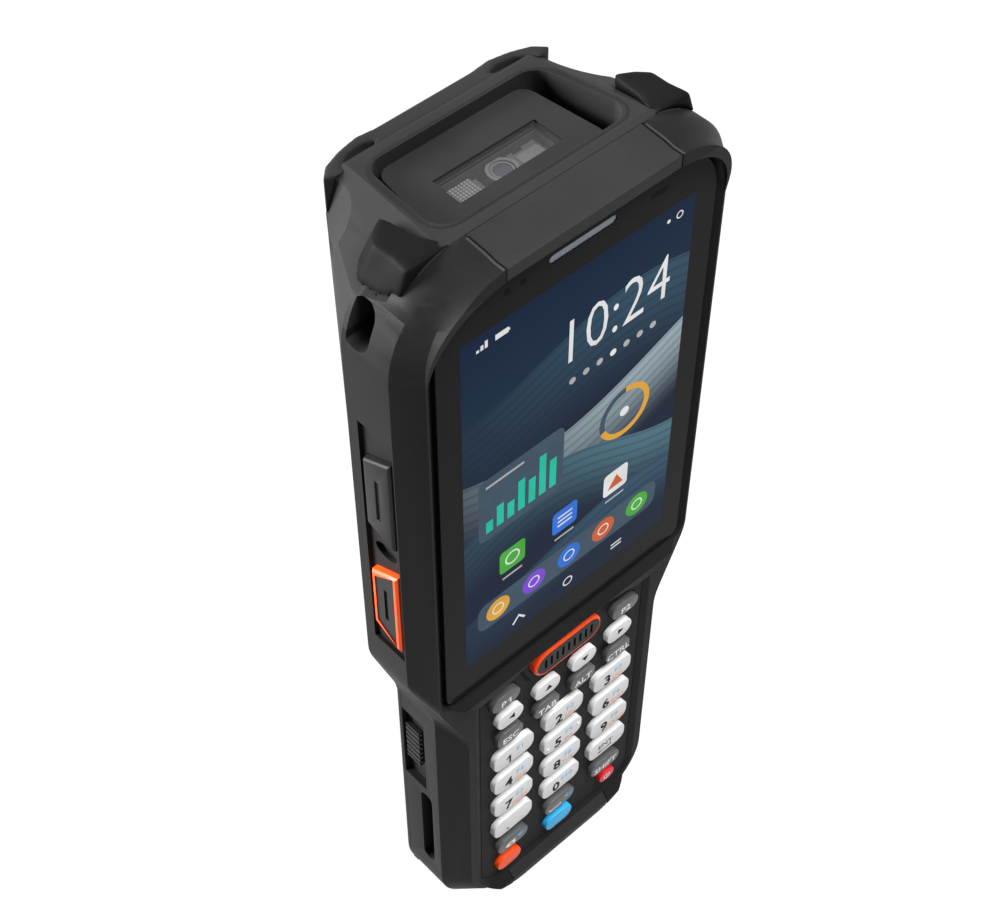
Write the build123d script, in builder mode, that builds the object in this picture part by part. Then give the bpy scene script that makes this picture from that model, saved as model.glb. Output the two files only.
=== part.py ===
from build123d import *
import os

# Portable barcode data terminal: scan head on top, display below it, keypad grip at the bottom.
# Millimetres. The terminal stands on its foot. X runs across it, Y from the display side
# (negative) to the back, Z from the foot to the scan head.

os.makedirs("parts", exist_ok=True)

# ---- Widths and heights that drive the rest --------------------------------------------------
GLASS_HALF = 31.0  # half width of the display glass
GLASS_LENGTH = 106.0
PANEL_HALF = 22.4  # half width of the keypad panel
PANEL_LENGTH = 80.0
PANEL_LOW = 6.6  # lower edge of the keypad panel
FIT = 0.15  # gap round a piece that is set into another
SEAM = 0.15
WALL = 3.0  # side wall of the front housing

PANEL_TOP = PANEL_LOW + PANEL_LENGTH
GLASS_LOW = PANEL_TOP + 2.4  # the ridge between the keypad and the display
GLASS_TOP = GLASS_LOW + GLASS_LENGTH
RIM_TOP_Z = GLASS_TOP + 2.9  # top of the rim's front face
CASE_TOP = RIM_TOP_Z + 0.8  # highest line of the casing, at the rear edge of the top bezel
BODY_HALF = GLASS_HALF + 6.0  # half width beside the display
GRIP_HALF = PANEL_HALF + 8.6  # half width of the keypad grip
NECK_LOW = GLASS_LOW - 8.2  # the grip starts to widen here
NECK_TOP = GLASS_LOW + 9.1  # and has reached the body's width here
NECK_RADIUS = 14.0
FOOT_RADIUS = 17.5  # foot corner at the side face
CREST_FOOT_RADIUS = FOOT_RADIUS - 2.5
CREST_INSET = 3.8  # from the side face to the crest beside the display
GRIP_CREST_INSET = 5.0  # the same beside the keypad
CREST_NECK_DROP = 8.6  # the crest narrows this much lower than the side face
CREST_FOOT_LIFT = 1.4
CREST_TOP_DROP = 0.8

# ---- Casing in depth ------------------------------------------------------------------------
CREST_Y = -16.5  # crest that runs round the display and the keypad
RIM_Y = CREST_Y - 2.3  # front of the top rim, the foremost face
LOW_RIM_Y = CREST_Y - 1.6  # front of the bottom rim and of the ridge under the display
SIDE_FRONT_Y = CREST_Y + 4.2  # the side face starts here
SIDE_REAR_Y = -1.2  # and ends here, where the rear chamfer starts
BACK_Y = 8.8  # flat back
BACK_CHAMFER = 9.0  # inset of the flat back from the side face
PARTING_Y = -2.2  # front and rear housing meet here

# ---- Display --------------------------------------------------------------------------------
GLASS_RECESS = 0.3  # behind the crest
GLASS_THICK = 1.2
GLASS_GAP = 0.35  # round the glass in its seat
GLASS_TOP_RADIUS = 13.0
GLASS_LOW_RADIUS = 3.0
RIM_SLOPE = 1.8  # width of the sloped wall between the glass and the crest
MODULE_HALF = GLASS_HALF - 3.0
MODULE_LOW = GLASS_LOW + 6.0
MODULE_TOP = GLASS_TOP - 7.0
MODULE_THICK = 3.0
MODULE_RADIUS = 1.0
RECEIVER_WIDTH = 14.5
RECEIVER_HEIGHT = 1.6
RECEIVER_Z = GLASS_TOP - 4.8
RECEIVER_RECESS = 0.2

# ---- Keypad ---------------------------------------------------------------------------------
PANEL_RADIUS = 6.0
PANEL_RECESS = 0.7  # behind the crest
PANEL_THICK = 1.2
PANEL_SLOPE = 1.6  # width of the sloped wall between the panel and the crest
PANEL_LEDGE = 1.2  # the panel rests on this much housing all round
KEY_RISE = 1.3  # a key stands this far out of the panel
KEY_GAP = 0.2  # round a key in its opening
KEY_FLANGE = 0.6  # the flange behind the panel is wider by this much
KEY_FLANGE_THICK = 0.8
FLANGE_GAP = 0.1  # between the flange and the panel at rest
KEY_CHAMFER = 0.4
MEMBRANE_THICK = 0.8
DOME_RADIUS = 1.4
DOME_HEIGHT = 0.2
DOME_SIDES = 8
SCAN_KEY_WIDTH = 18.2
SCAN_KEY_HEIGHT = 7.1
SCAN_KEY_RIM = 0.6
SCAN_KEY_RISE = 1.7
SCAN_INSERT_DEPTH = 1.2
SCAN_RIB_PITCH = 1.57
SCAN_RIB_WIDTH = 0.55
SCAN_RIB_LENGTH = 2.9
SCAN_RIB_DEPTH = 0.5
SCAN_RIB_COUNT = 9
ROUND_END = 0.01  # a rounded end falls this much short of a half circle

# the rows and columns of keys are set out in steps that follow the panel's size
ROW = PANEL_LENGTH / 80
COLUMN = PANEL_HALF / 22.4
NUMBER_PITCH_X = 14.2 * COLUMN
NUMBER_PITCH_Z = 9.2 * ROW
NUMBER_KEY = (11.0, 6.0, 2.2)  # width, height, corner radius
ARROW_PITCH_X = 10.2 * COLUMN
SMALL_KEY = (7.0, 4.6, 2.1)
PROGRAM_X = PANEL_HALF - 5.9
PROGRAM_KEY = (7.4, 4.2, 1.9)
EDIT_KEY = (8.8, 4.6, 2.1)
ORANGE_X = -15.2 * COLUMN
ORANGE_KEY = (6.9, 4.4, 2.1)
BLUE_KEY = (8.0, 4.6, 2.2)
POWER_X = 15.1 * COLUMN
POWER_KEY = (4.6, 3.8, 1.8)
COLOUR_Z = PANEL_LOW + 5.4 * ROW
POWER_Z = COLOUR_Z + 1.4 * ROW
EDIT_Z = COLOUR_Z + 7.5 * ROW
NUMBER_TOP_Z = EDIT_Z + 8.9 * ROW + 3 * NUMBER_PITCH_Z
ESC_Z = NUMBER_TOP_Z + 7.7 * ROW
ARROW_Z = ESC_Z + 6.8 * ROW
PROGRAM_Z = ARROW_Z + 7.4 * ROW
SCAN_KEY_Z = ARROW_Z + 10.1 * ROW

# ---- Ridge, rims and bezels -----------------------------------------------------------------
RIDGE_CREST_Z = GLASS_LOW - 2.0
RIDGE_DIP_Z = GLASS_LOW - 5.3  # lowest line of the ridge, at its two dips
RIDGE_ARCH_Z = GLASS_LOW - 3.0  # the ridge arches up over the front scan key
RIDGE_DIP_X = GLASS_HALF - 9.4
RIDGE_DIP_HALF = 3.0
RIDGE_ARCH_HALF = 10.0
RIDGE_LEAN = 1.2  # the lower edge rises this much towards the crest
RIDGE_CUT = 20.0  # the glass opening is cleared of the ridge this far up
TOP_BEZEL_HALF = GLASS_HALF - 12.2
TOP_BEZEL_LOW = GLASS_TOP + 0.2 + SEAM
TOP_BEZEL_DEPTH = 9.1
SHOULDER_FOOT_Z = GLASS_TOP - 15.0  # the shoulders start to rise from the crest here
SHOULDER_CREST_Z = GLASS_TOP - 0.4  # and reach the rim's front face here
BOTTOM_BEZEL_HALF = 15.0
BOTTOM_BEZEL_TOP = PANEL_LOW - 1.0
BOTTOM_BEZEL_DEPTH = 5.0
BOTTOM_CREST_Z = 3.5

# ---- Scan head ------------------------------------------------------------------------------
CROWN_RADIUS = BODY_HALF - TOP_BEZEL_HALF  # the shoulder's corner starts at the bezel's seam
TOP_BEZEL_REAR_Y = RIM_Y + TOP_BEZEL_DEPTH
RING_FRONT_Y = TOP_BEZEL_REAR_Y + 2.15
RING_FRONT_Z = CASE_TOP - 0.6
RING_REAR_Y = RING_FRONT_Y + 24.25
RING_REAR_Z = CASE_TOP - 2.8
HEAD_BACK_Y = RING_REAR_Y + 0.8  # back of the head's casing
HEAD_COVER_LOW = CASE_TOP - 13.7
HEAD_FRONT_HALF = BODY_HALF - 9.0  # half width of the cover's tongue behind the top bezel
HEAD_TONGUE_LOW = HEAD_COVER_LOW + 2.0
HEAD_BULGE_LOW = CASE_TOP - 48.7
HEAD_BACK_HALF = BODY_HALF - 13.0
HEAD_BACK_LOW = CASE_TOP - 12.7
HEAD_BACK_TOP = CASE_TOP - 2.3
HEAD_BACK_RADII = (1.5, 4.0)
RING_HALF = (TOP_BEZEL_HALF + 3.85, TOP_BEZEL_HALF + 1.0)  # outer edge in front and at the rear
FLANK_FALL = 0.58  # the casing falls this much per millimetre outside the ring
SCOOP_RADIUS = 10.5  # hollow in each rear corner of the head
SCOOP_TOP = (BODY_HALF - 5.0, RING_REAR_Y - 0.7)  # its axis at the casing's top, x and y
SCOOP_LEAN = 0.26  # the axis moves out and back by this much per millimetre down
SCOOP_LENGTH = 60.0
WELL_FRONT_Y = RING_FRONT_Y + 1.35
WELL_REAR_Y = RING_REAR_Y - 2.2
WELL_HALF = (TOP_BEZEL_HALF + 2.0, TOP_BEZEL_HALF - 0.6)
WELL_RADIUS = 4.0
WELL_FLOOR = CASE_TOP - 9.7
WELL_FLOOR_THICK = 2.0
PLATEAU_LEFT = (-TOP_BEZEL_HALF - 0.5, -TOP_BEZEL_HALF + 2.2)  # left edge in front and at the rear
PLATEAU_RIGHT = (TOP_BEZEL_HALF - 1.6, TOP_BEZEL_HALF - 3.75)
PLATEAU_Y = (WELL_FRONT_Y + 0.6, WELL_REAR_Y - 0.8)
PLATEAU_TOP = CASE_TOP - 4.4
PLATEAU_RADIUS = 3.0
WINDOW_X = (-11.3, 10.65)
WINDOW_Y = (-0.5, 6.2)
WINDOW_THICK = 1.0
WINDOW_RECESS = 0.5
WINDOW_LIP = 0.8  # the pane rests on this much of the frame all round
ENGINE_HALF = 12.2
ENGINE_Y = (-1.6, 6.7)
ENGINE_DEPTH = 8.5
ENGINE_LENS_RADIUS = 2.3
ENGINE_LENS_X = 0.2
ENGINE_LENS_HEIGHT = 2.4
ENGINE_SIDE_X = (3.3, 9.4)  # span of the lamp on one side and of the aimer on the other
ENGINE_SIDE_Y = (0.9, 5.1)
ENGINE_SIDE_HEIGHT = 1.6
HEAD_ROOM_HALF = 23.0
HEAD_ROOM_REAR_Y = 11.0

# ---- Bumpers --------------------------------------------------------------------------------
BUMPER_TOP = CASE_TOP - 0.2
BUMPER_LOW = CASE_TOP - 7.0
BUMPER_FRONT_Y = TOP_BEZEL_REAR_Y + 0.2
BUMPER_FALL = 0.06  # its top falls by this much per millimetre towards the rear
BUMPER_TOP_PLAN = (  # x from the crown's axis and y of the upper outline
    (2.8, 0.0), (4.1, 3.4), (5.1, 5.4), (5.6, 10.4), (6.2, 12.1), (9.0, 10.2), (10.7, 8.2),
    (10.5, 3.8), (11.1, 0.0),
)
BUMPER_LOW_PLAN = (  # the same of the lower outline, inside the casing but for its outer side
    (2.8, 0.0), (4.1, 3.4), (5.1, 5.4), (5.6, 10.6), (7.2, 13.0), (11.8, 12.0), (13.8, 9.2),
    (14.0, 4.5), (13.5, 0.0),
)
REAR_BUMPER_Y = RING_REAR_Y + 4.7  # back of the rear bumper, the rearmost face
REAR_BUMPER_LOW = HEAD_BACK_LOW + 2.0
REAR_BUMPER_SLOPE = 3.5  # height of the slope under the rear bumper
HORN_X = RING_HALF[1]  # the horns are set out from the ring's corner
BAR_HALF = HORN_X - 9.7
HORN_TOP = RING_REAR_Z - 0.3
BAR_TOP = (HORN_TOP - 0.1, HORN_TOP - 0.6)  # top of the bar at the ring and at its rear edge
HORN_RISE_X = HORN_X - 5.7  # the horns have reached their full height here
HORN_PLAN = (  # outer side of one horn round the corner: x from HORN_X, y from the rear face
    (-5.7, 0.0), (-1.4, 0.8), (2.4, 2.2), (4.6, 4.4), (1.8, 5.4), (-0.2, 5.7),
)
HOLLOW_PLAN = (  # hollow on the inner side of one horn, the same way
    (-8.0, 2.7), (-5.2, 1.8), (-1.7, 2.4), (0.6, 4.2), (-0.2, 6.2), (-2.3, 5.0),
)
HOLLOW_DEPTH = 2.4

# ---- Side faces -----------------------------------------------------------------------------
SIDE_KEYS_Z = GLASS_LOW + 17.0  # heights of the side keys are counted from here
SIDE_RECESS = 0.8
RECESS_TOP = SIDE_KEYS_Z + 60.0
RECESS_LOW = SIDE_KEYS_Z + 0.5
RECESS_FRONT_Y = SIDE_FRONT_Y + 0.3
RECESS_REAR_Y = PARTING_Y - 1.5
SIDE_KEY_PROUD = 0.6
SIDE_KEY_FRONT_Y = RECESS_FRONT_Y + 0.3
SIDE_KEY_REAR_Y = RECESS_REAR_Y - 1.1
UPPER_KEY = (33.0, 35.5, 52.0, 55.5)  # above SIDE_KEYS_Z: lower front, lower rear, upper rear, upper front
SCAN_SIDE_KEY = (3.5, 7.0, 22.0, 25.5)
SIDE_RIM = 0.9  # orange rim round the insert of the side scan key
SIDE_INSERT_DEPTH = 0.5
SIDE_KEY_FLANGE = 0.6
SIDE_KEY_FLANGE_THICK = 0.8
SLIT_WIDTH = 0.9
SLIT_DEPTH = 0.4
SLIT_END = 3.2  # from the slit's end to the end of the key
SLIT_Y = (SIDE_KEY_FRONT_Y + SIDE_KEY_REAR_Y) / 2
DIMPLE_Y = SLIT_Y + 0.4
DIMPLE_Z = SIDE_KEYS_Z + 28.6
DIMPLE_SIZE = (5.6, 3.4)
DIMPLE_DEPTH = 1.0
STRAP_SLOT_Y = (PARTING_Y - 5.1, PARTING_Y + 1.0)
STRAP_SLOT_Z = (CASE_TOP - 15.9, CASE_TOP - 7.5)
STRAP_SLOT_FLOOR_X = BODY_HALF - 7.4
STRAP_BAR_X = (BODY_HALF - 6.4, BODY_HALF - 4.6)
STRAP_BAR_Y = (PARTING_Y - 3.9, PARTING_Y - 2.1)
LOW_SLOT_Y = (SIDE_FRONT_Y + 2.1, SIDE_FRONT_Y + 5.5)
LOW_SLOT_Z = (PANEL_LOW + 14.4, PANEL_LOW + 40.9)
LOW_SLOT_FLOOR_X = GRIP_HALF - 5.4
SLOT_ROUND = 0.45  # corner radius of a strap slot as a share of its width
LOW_BAR_X = (GRIP_HALF - 3.8, GRIP_HALF - 2.6)
LOW_BAR_Y = (SIDE_FRONT_Y + 3.3, SIDE_FRONT_Y + 4.3)
LATCH_RECESS_Z = (PANEL_TOP - 36.6, PANEL_TOP - 12.6)
LATCH_RECESS_FRONT_Y = PARTING_Y - 6.5
LATCH_RECESS_DEPTH = 1.6
LATCH_Y = (PARTING_Y - 4.6, PARTING_Y - 0.5)
LATCH_Z = (LATCH_RECESS_Z[0] + 6.5, LATCH_RECESS_Z[0] + 18.5)
LATCH_TRAVEL = 3.0
LATCH_GAP = 0.08
LATCH_RIBS = 7
LATCH_SUNK = 0.3  # below the side face
LATCH_GROOVE = 0.7
LATCH_PLATE = 0.8
LATCH_STEM = 0.9  # the stem is this much shorter than the latch at each edge

# ---- Inside and at the back -----------------------------------------------------------------
REAR_ROOM_HALF = BODY_HALF - 10.0
REAR_WALL = 2.0
REAR_ROOF = 20.0  # the head's bulge is left out of the rear housing below this much over the battery
BAY_FLOOR_HALF = GRIP_HALF - 1.7  # floor of the battery bay
BAY_FLOOR_THICK = 1.5
SPEAKER_PITCH = 2.0
SPEAKER_SLOT = (12.0, 1.0)
SPEAKER_SLOTS = 5
SPEAKER_SIZE = (16.0, 9.0, 3.0)
SPEAKER_Z = SIDE_KEYS_Z + 22.0
SEAL_OFFSET = 0.3  # from the cavity to the seal's groove
SEAL_WIDTH = 0.7
SEAL_THICK = 0.6
CAVITY_HALF = BODY_HALF - WALL
CAVITY_SHOULDER_Z = CASE_TOP - 18.2
CAVITY_TAIL_HALF = BODY_HALF - 8.7
CAVITY_GRIP_HALF = GRIP_HALF - WALL
CAVITY_FOOT_HALF = GRIP_HALF - 6.4
CAVITY_FOOT_Z = LATCH_RECESS_Z[0] - 1.0  # the cavity is narrower below, beside the lower strap slots
CAVITY_LOW = PANEL_LOW + 1.4
CAVITY_TOP = GLASS_TOP - 3.0
SEAL_TOP = CAVITY_SHOULDER_Z + 2.0
BOARD_THICK = 1.2
BOARD_HALF = CAVITY_HALF - 2.0
BOARD_GRIP_HALF = CAVITY_FOOT_HALF - 0.6
BOARD_TAIL_HALF = CAVITY_TAIL_HALF - 1.3
BOARD_LOW = CAVITY_LOW + 1.0
BOARD_SHOULDER_Z = CAVITY_SHOULDER_Z - 1.5
BOARD_TOP = CAVITY_TOP - 2.0
BOARD_CHIPS = (  # x span, thickness and z span of the larger components
    ((-14.0, 6.0), 2.4, (SIDE_KEYS_Z + 30.0, SIDE_KEYS_Z + 54.0)),
    ((12.0, 24.0), 1.8, (SIDE_KEYS_Z + 34.0, SIDE_KEYS_Z + 46.0)),
    ((-8.0, 8.0), 2.0, (SIDE_KEYS_Z - 10.0, SIDE_KEYS_Z - 2.0)),
    ((-12.0, 12.0), 1.6, (30.0, 44.0)),
)
BATTERY_LOW = PANEL_LOW + 3.4
BATTERY_TOP = PANEL_TOP - 6.6
COVER_WALL = 2.0
PACK_HALF = GRIP_HALF - 11.0
SCREW_HEAD_RADIUS = 1.7
SCREW_HEAD = 1.6
SCREW_RADIUS = 0.9
SCREW_X = CAVITY_HALF - 4.0
SCREW_Z = (SIDE_KEYS_Z + 6.0, CAVITY_SHOULDER_Z - 10.5)
SCREW_SINK_Y = BACK_Y - 5.2  # the counterbore's floor
CHIN_SCREW_X = 10.0
CHIN_SCREW_Z = 5.0
CHIN_SINK_Y = BACK_Y - 3.4
CHIN_SCREW_BITE = 5.0  # length of the chin screws in the front housing
BOSS_RADIUS = 2.6
BOSS_GAP = 0.3  # round the bosses in the board
CAMERA_Z = CASE_TOP - 41.7
CAMERA_X = 12.0
CAMERA_RADIUS = 5.0
CAMERA_DEPTH = 6.0
CAMERA_WINDOW_THICK = 0.8
FLASH_DEPTH = 3.0
FLASH_X = 2.5
FLASH_RADIUS = 1.8
CONTACT_COUNT = 4
CONTACT_PITCH = 3.0
CONTACT_WIDTH = 1.5
CONTACT_HEIGHT = 4.0
CONTACT_TAIL = 1.0  # length of the contacts behind the bay's floor
CONTACT_Z = BATTERY_TOP - 8.0

# ---- Depths that follow ---------------------------------------------------------------------
GLASS_Y = CREST_Y + GLASS_RECESS
GLASS_BACK_Y = GLASS_Y + GLASS_THICK
BOARD_Y = GLASS_BACK_Y + MODULE_THICK
BOARD_BACK_Y = BOARD_Y + BOARD_THICK
ROOM_DEPTH = PARTING_Y - BOARD_Y
PANEL_Y = CREST_Y + PANEL_RECESS
PANEL_BACK_Y = PANEL_Y + PANEL_THICK
MEMBRANE_Y = BOARD_Y - MEMBRANE_THICK
BAY_FLOOR_Y = PARTING_Y + BAY_FLOOR_THICK
COVER_INSIDE_Y = BACK_Y - COVER_WALL
CREST_HALF = BODY_HALF - CREST_INSET
GRIP_CREST_HALF = GRIP_HALF - GRIP_CREST_INSET


def facing(y):
    """Plane across the terminal at depth y, seen from the front."""
    return Plane(origin=(0, y, 0), x_dir=(1, 0, 0), z_dir=(0, -1, 0))


def sideways(x):
    """Plane along the terminal at x: its own x is Y and its own y is Z."""
    return Plane(origin=(x, 0, 0), x_dir=(0, 1, 0), z_dir=(1, 0, 0))


def block(x_span, y_span, z_span, mode=Mode.SUBTRACT):
    """Box between limits on the three axes, in the part being built."""
    centre = [sum(span) / 2 for span in (x_span, y_span, z_span)]
    size = [abs(span[1] - span[0]) for span in (x_span, y_span, z_span)]
    with Locations(tuple(centre)):
        Box(*size, mode=mode)


def both(half):
    return (-half, half)


def shape(plane, points, radius=0.0):
    """Closed outline through the points, its corners rounded by one radius or one for each."""
    with BuildSketch(plane) as outline:
        with BuildLine():
            if radius:
                FilletPolyline(*points, radius=radius, close=True)
            else:
                Polyline(*points, close=True)
        make_face()
    return outline.sketch


def span(y, half, low, high, low_radius, high_radius):
    """Outline symmetric in X, with its own corner radius below and above."""
    points = [(-half, low), (half, low), (half, high), (-half, high)]
    return shape(facing(y), points, [low_radius, low_radius, high_radius, high_radius])


def mirrored(right):
    """The points of a right half followed by their mirror images."""
    return right + [(-x, z) for x, z in reversed(right)]


def casing_outline(y, grip, body, low, neck_low, neck_top, high, foot_radius, crown_radius):
    """Front outline of the casing at one depth: narrow grip, wide body, round corners."""
    right = [(grip, low), (grip, neck_low), (body, neck_top), (body, high)]
    radii = [foot_radius, NECK_RADIUS, NECK_RADIUS, crown_radius]
    return shape(facing(y), mirrored(right), radii + radii[::-1])


def slot(x, y_span, z_span):
    """Rounded outline of a slot in a side face."""
    corners = [
        (y_span[0], z_span[0]), (y_span[1], z_span[0]), (y_span[1], z_span[1]), (y_span[0], z_span[1])
    ]
    return shape(sideways(x), corners, (y_span[1] - y_span[0]) * SLOT_ROUND)


def rod(x, z, radius, y_span, mode=Mode.ADD):
    """Cylinder along Y between two depths, in the part being built."""
    with Locations(Location((x, sum(y_span) / 2, z), (90, 0, 0))):
        Cylinder(radius, abs(y_span[1] - y_span[0]), mode=mode)


def save(part, name):
    part.label = name
    export_step(part, f"parts/{name}.step")


# ---- Casing shape, from which the housings, covers and bezels are cut ------------------------
side_outlines = [
    casing_outline(
        y, GRIP_HALF, BODY_HALF, 0, NECK_LOW, NECK_TOP, CASE_TOP, FOOT_RADIUS, CROWN_RADIUS
    )
    for y in (SIDE_FRONT_Y, SIDE_REAR_Y)
]
crest_outline = casing_outline(
    CREST_Y, GRIP_CREST_HALF, CREST_HALF, CREST_FOOT_LIFT, NECK_LOW - CREST_NECK_DROP,
    NECK_TOP - CREST_NECK_DROP, CASE_TOP - CREST_TOP_DROP,
    CREST_FOOT_RADIUS, CROWN_RADIUS - CREST_INSET + CREST_TOP_DROP,
)
back_outline = casing_outline(
    BACK_Y, GRIP_HALF - BACK_CHAMFER, BODY_HALF - BACK_CHAMFER, 0, NECK_LOW, NECK_TOP,
    CASE_TOP - BACK_CHAMFER, FOOT_RADIUS, CROWN_RADIUS,
)
head_root = span(SIDE_REAR_Y, BODY_HALF, HEAD_BULGE_LOW, CASE_TOP, NECK_RADIUS, CROWN_RADIUS)
head_back = span(HEAD_BACK_Y, HEAD_BACK_HALF, HEAD_BACK_LOW, HEAD_BACK_TOP, *HEAD_BACK_RADII)
shoulder_wedge = shape(
    sideways(-BODY_HALF),
    [(CREST_Y + 1, SHOULDER_FOOT_Z), (CREST_Y, SHOULDER_FOOT_Z), (RIM_Y, SHOULDER_CREST_Z),
     (RIM_Y, RIM_TOP_Z), (CREST_Y + 1, RIM_TOP_Z)],
)
bottom_wedge = shape(
    sideways(-BODY_HALF),
    [(CREST_Y + 1, 0), (CREST_Y + 1, BOTTOM_BEZEL_TOP), (CREST_Y, BOTTOM_BEZEL_TOP),
     (LOW_RIM_Y, BOTTOM_CREST_Z), (LOW_RIM_Y, 0)],
)
above_top = shape(
    sideways(-BODY_HALF - 1),
    [
        (RIM_Y - 1, RIM_TOP_Z), (RIM_Y, RIM_TOP_Z), (TOP_BEZEL_REAR_Y, CASE_TOP),
        (RING_FRONT_Y, RING_FRONT_Z), (RING_REAR_Y, RING_REAR_Z),
        (REAR_BUMPER_Y, BAR_TOP[1]), (REAR_BUMPER_Y, CASE_TOP + 2), (RIM_Y - 1, CASE_TOP + 2),
    ],
)


def flank_outline(y):
    """Outline of what is cut off beside the ring at one depth, on the right."""
    share = (y - RING_FRONT_Y) / (RING_REAR_Y - RING_FRONT_Y)
    x = RING_HALF[0] + share * (RING_HALF[1] - RING_HALF[0])
    z = RING_FRONT_Z + share * (RING_REAR_Z - RING_FRONT_Z)
    far = BODY_HALF + 3
    return shape(
        facing(y),
        [(x, z), (far, z - (far - x) * FLANK_FALL), (far, CASE_TOP + 2), (x, CASE_TOP + 2)],
    )


with BuildPart() as flanks:
    loft([flank_outline(RING_FRONT_Y), flank_outline(HEAD_BACK_Y + 1)], ruled=True)
    mirror(about=Plane.YZ)

with BuildPart() as rims:
    for wedge in (shoulder_wedge, bottom_wedge):
        extrude(wedge, amount=2 * BODY_HALF)
    extrude(crest_outline, amount=CREST_Y - RIM_Y, both=True, mode=Mode.INTERSECT)

with BuildPart() as casing:
    loft([crest_outline, *side_outlines, back_outline], ruled=True)
    loft([head_root, head_back], ruled=True)
    add(rims.part)
    extrude(above_top, amount=2 * BODY_HALF + 2, mode=Mode.SUBTRACT)
    add(flanks.part, mode=Mode.SUBTRACT)
    for side in (-1, 1):
        scoop_plane = Plane(
            origin=(side * SCOOP_TOP[0], SCOOP_TOP[1], CASE_TOP),
            z_dir=(side * SCOOP_LEAN, SCOOP_LEAN, -1),
        )
        with Locations(scoop_plane.offset(-SCOOP_RADIUS)):
            Cylinder(
                SCOOP_RADIUS, SCOOP_LENGTH, align=(Align.CENTER, Align.CENTER, Align.MIN),
                mode=Mode.SUBTRACT,
            )


def cut_from_casing(*regions):
    """The part of the casing that lies in the given boxes."""
    with BuildPart() as piece:
        for region in regions:
            block(*region, mode=Mode.ADD)
        add(casing.part, mode=Mode.INTERSECT)
    return piece.part


WIDE = both(BODY_HALF + 1)
TALL = CASE_TOP + 1

# ---- Regions of the casing ------------------------------------------------------------------
top_bezel_region = (both(TOP_BEZEL_HALF), (RIM_Y - 1, TOP_BEZEL_REAR_Y), (TOP_BEZEL_LOW, TALL))
bottom_bezel_region = (
    both(BOTTOM_BEZEL_HALF), (LOW_RIM_Y - 1, LOW_RIM_Y + BOTTOM_BEZEL_DEPTH), (0, BOTTOM_BEZEL_TOP)
)
tongue_region = (both(HEAD_FRONT_HALF), (TOP_BEZEL_REAR_Y, PARTING_Y), (HEAD_TONGUE_LOW, TALL))
head_region = (WIDE, (PARTING_Y, REAR_BUMPER_Y), (HEAD_COVER_LOW, TALL))
battery_region = (WIDE, (PARTING_Y, BACK_Y + 1), (BATTERY_LOW, BATTERY_TOP))


# ---- Keys -----------------------------------------------------------------------------------
def key_row(names, pitch, z, size, x=0.0):
    """Keys in one row, evenly spaced about x: name, x, z and size of each."""
    first = x - pitch * (len(names) - 1) / 2
    return [(name, first + pitch * i, z, size) for i, name in enumerate(names)]


keys = key_row(("p1", "p2"), 2 * PROGRAM_X, PROGRAM_Z, PROGRAM_KEY)
keys += key_row(("left", "up", "down", "right"), ARROW_PITCH_X, ARROW_Z, SMALL_KEY)
keys += key_row(("esc", "tab", "alt", "ctrl"), ARROW_PITCH_X, ESC_Z, SMALL_KEY)
number_rows = (("1", "2", "3"), ("4", "5", "6"), ("7", "8", "9"), ("dot", "0", "enter"))
for row, names in enumerate(number_rows):
    keys += key_row(names, NUMBER_PITCH_X, NUMBER_TOP_Z - row * NUMBER_PITCH_Z, NUMBER_KEY)
keys += key_row(("backspace", "space", "shift"), NUMBER_PITCH_X, EDIT_Z, EDIT_KEY)
keys += [
    ("orange", ORANGE_X, COLOUR_Z, ORANGE_KEY),
    ("blue", 0.0, COLOUR_Z, BLUE_KEY),
    ("power", POWER_X, POWER_Z, POWER_KEY),
]
FLANGE_Y = PANEL_BACK_Y + FLANGE_GAP
KEY_BACK_Y = FLANGE_Y + KEY_FLANGE_THICK
KEY_TOP_Y = PANEL_Y - KEY_RISE
SCAN_KEY_TOP_Y = PANEL_Y - SCAN_KEY_RISE


def key_sketch(y, x, z, width, height, corner):
    with BuildSketch(facing(y)) as outline:
        with Locations((x, z)):
            RectangleRounded(width, height, corner)
    return outline.sketch


def front_key(x, z, size, top_y):
    """Key cap through its opening, with the flange that keeps it behind the panel."""
    width, height, corner = size
    with BuildPart() as key:
        extrude(key_sketch(KEY_BACK_Y, x, z, width, height, corner), amount=KEY_BACK_Y - top_y)
        chamfer(key.faces().sort_by(Axis.Y)[0].edges(), KEY_CHAMFER)
        block(
            (x - width / 2 - KEY_FLANGE, x + width / 2 + KEY_FLANGE), (FLANGE_Y, KEY_BACK_Y),
            (z - height / 2 - KEY_FLANGE, z + height / 2 + KEY_FLANGE), mode=Mode.ADD,
        )
    return key.part


for name, x, z, size in keys:
    save(front_key(x, z, size, KEY_TOP_Y), f"key_{name}")

# front scan key: orange rim with a ribbed insert seated in it
scan_size = (SCAN_KEY_WIDTH, SCAN_KEY_HEIGHT, SCAN_KEY_HEIGHT / 2 - ROUND_END)
insert_size = (
    SCAN_KEY_WIDTH - 2 * SCAN_KEY_RIM, SCAN_KEY_HEIGHT - 2 * SCAN_KEY_RIM,
    SCAN_KEY_HEIGHT / 2 - SCAN_KEY_RIM - ROUND_END,
)
with BuildPart() as key_scan:
    add(front_key(0, SCAN_KEY_Z, scan_size, SCAN_KEY_TOP_Y))
    extrude(
        key_sketch(SCAN_KEY_TOP_Y, 0, SCAN_KEY_Z, *insert_size), amount=-SCAN_INSERT_DEPTH,
        mode=Mode.SUBTRACT,
    )
save(key_scan.part, "key_scan")

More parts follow.
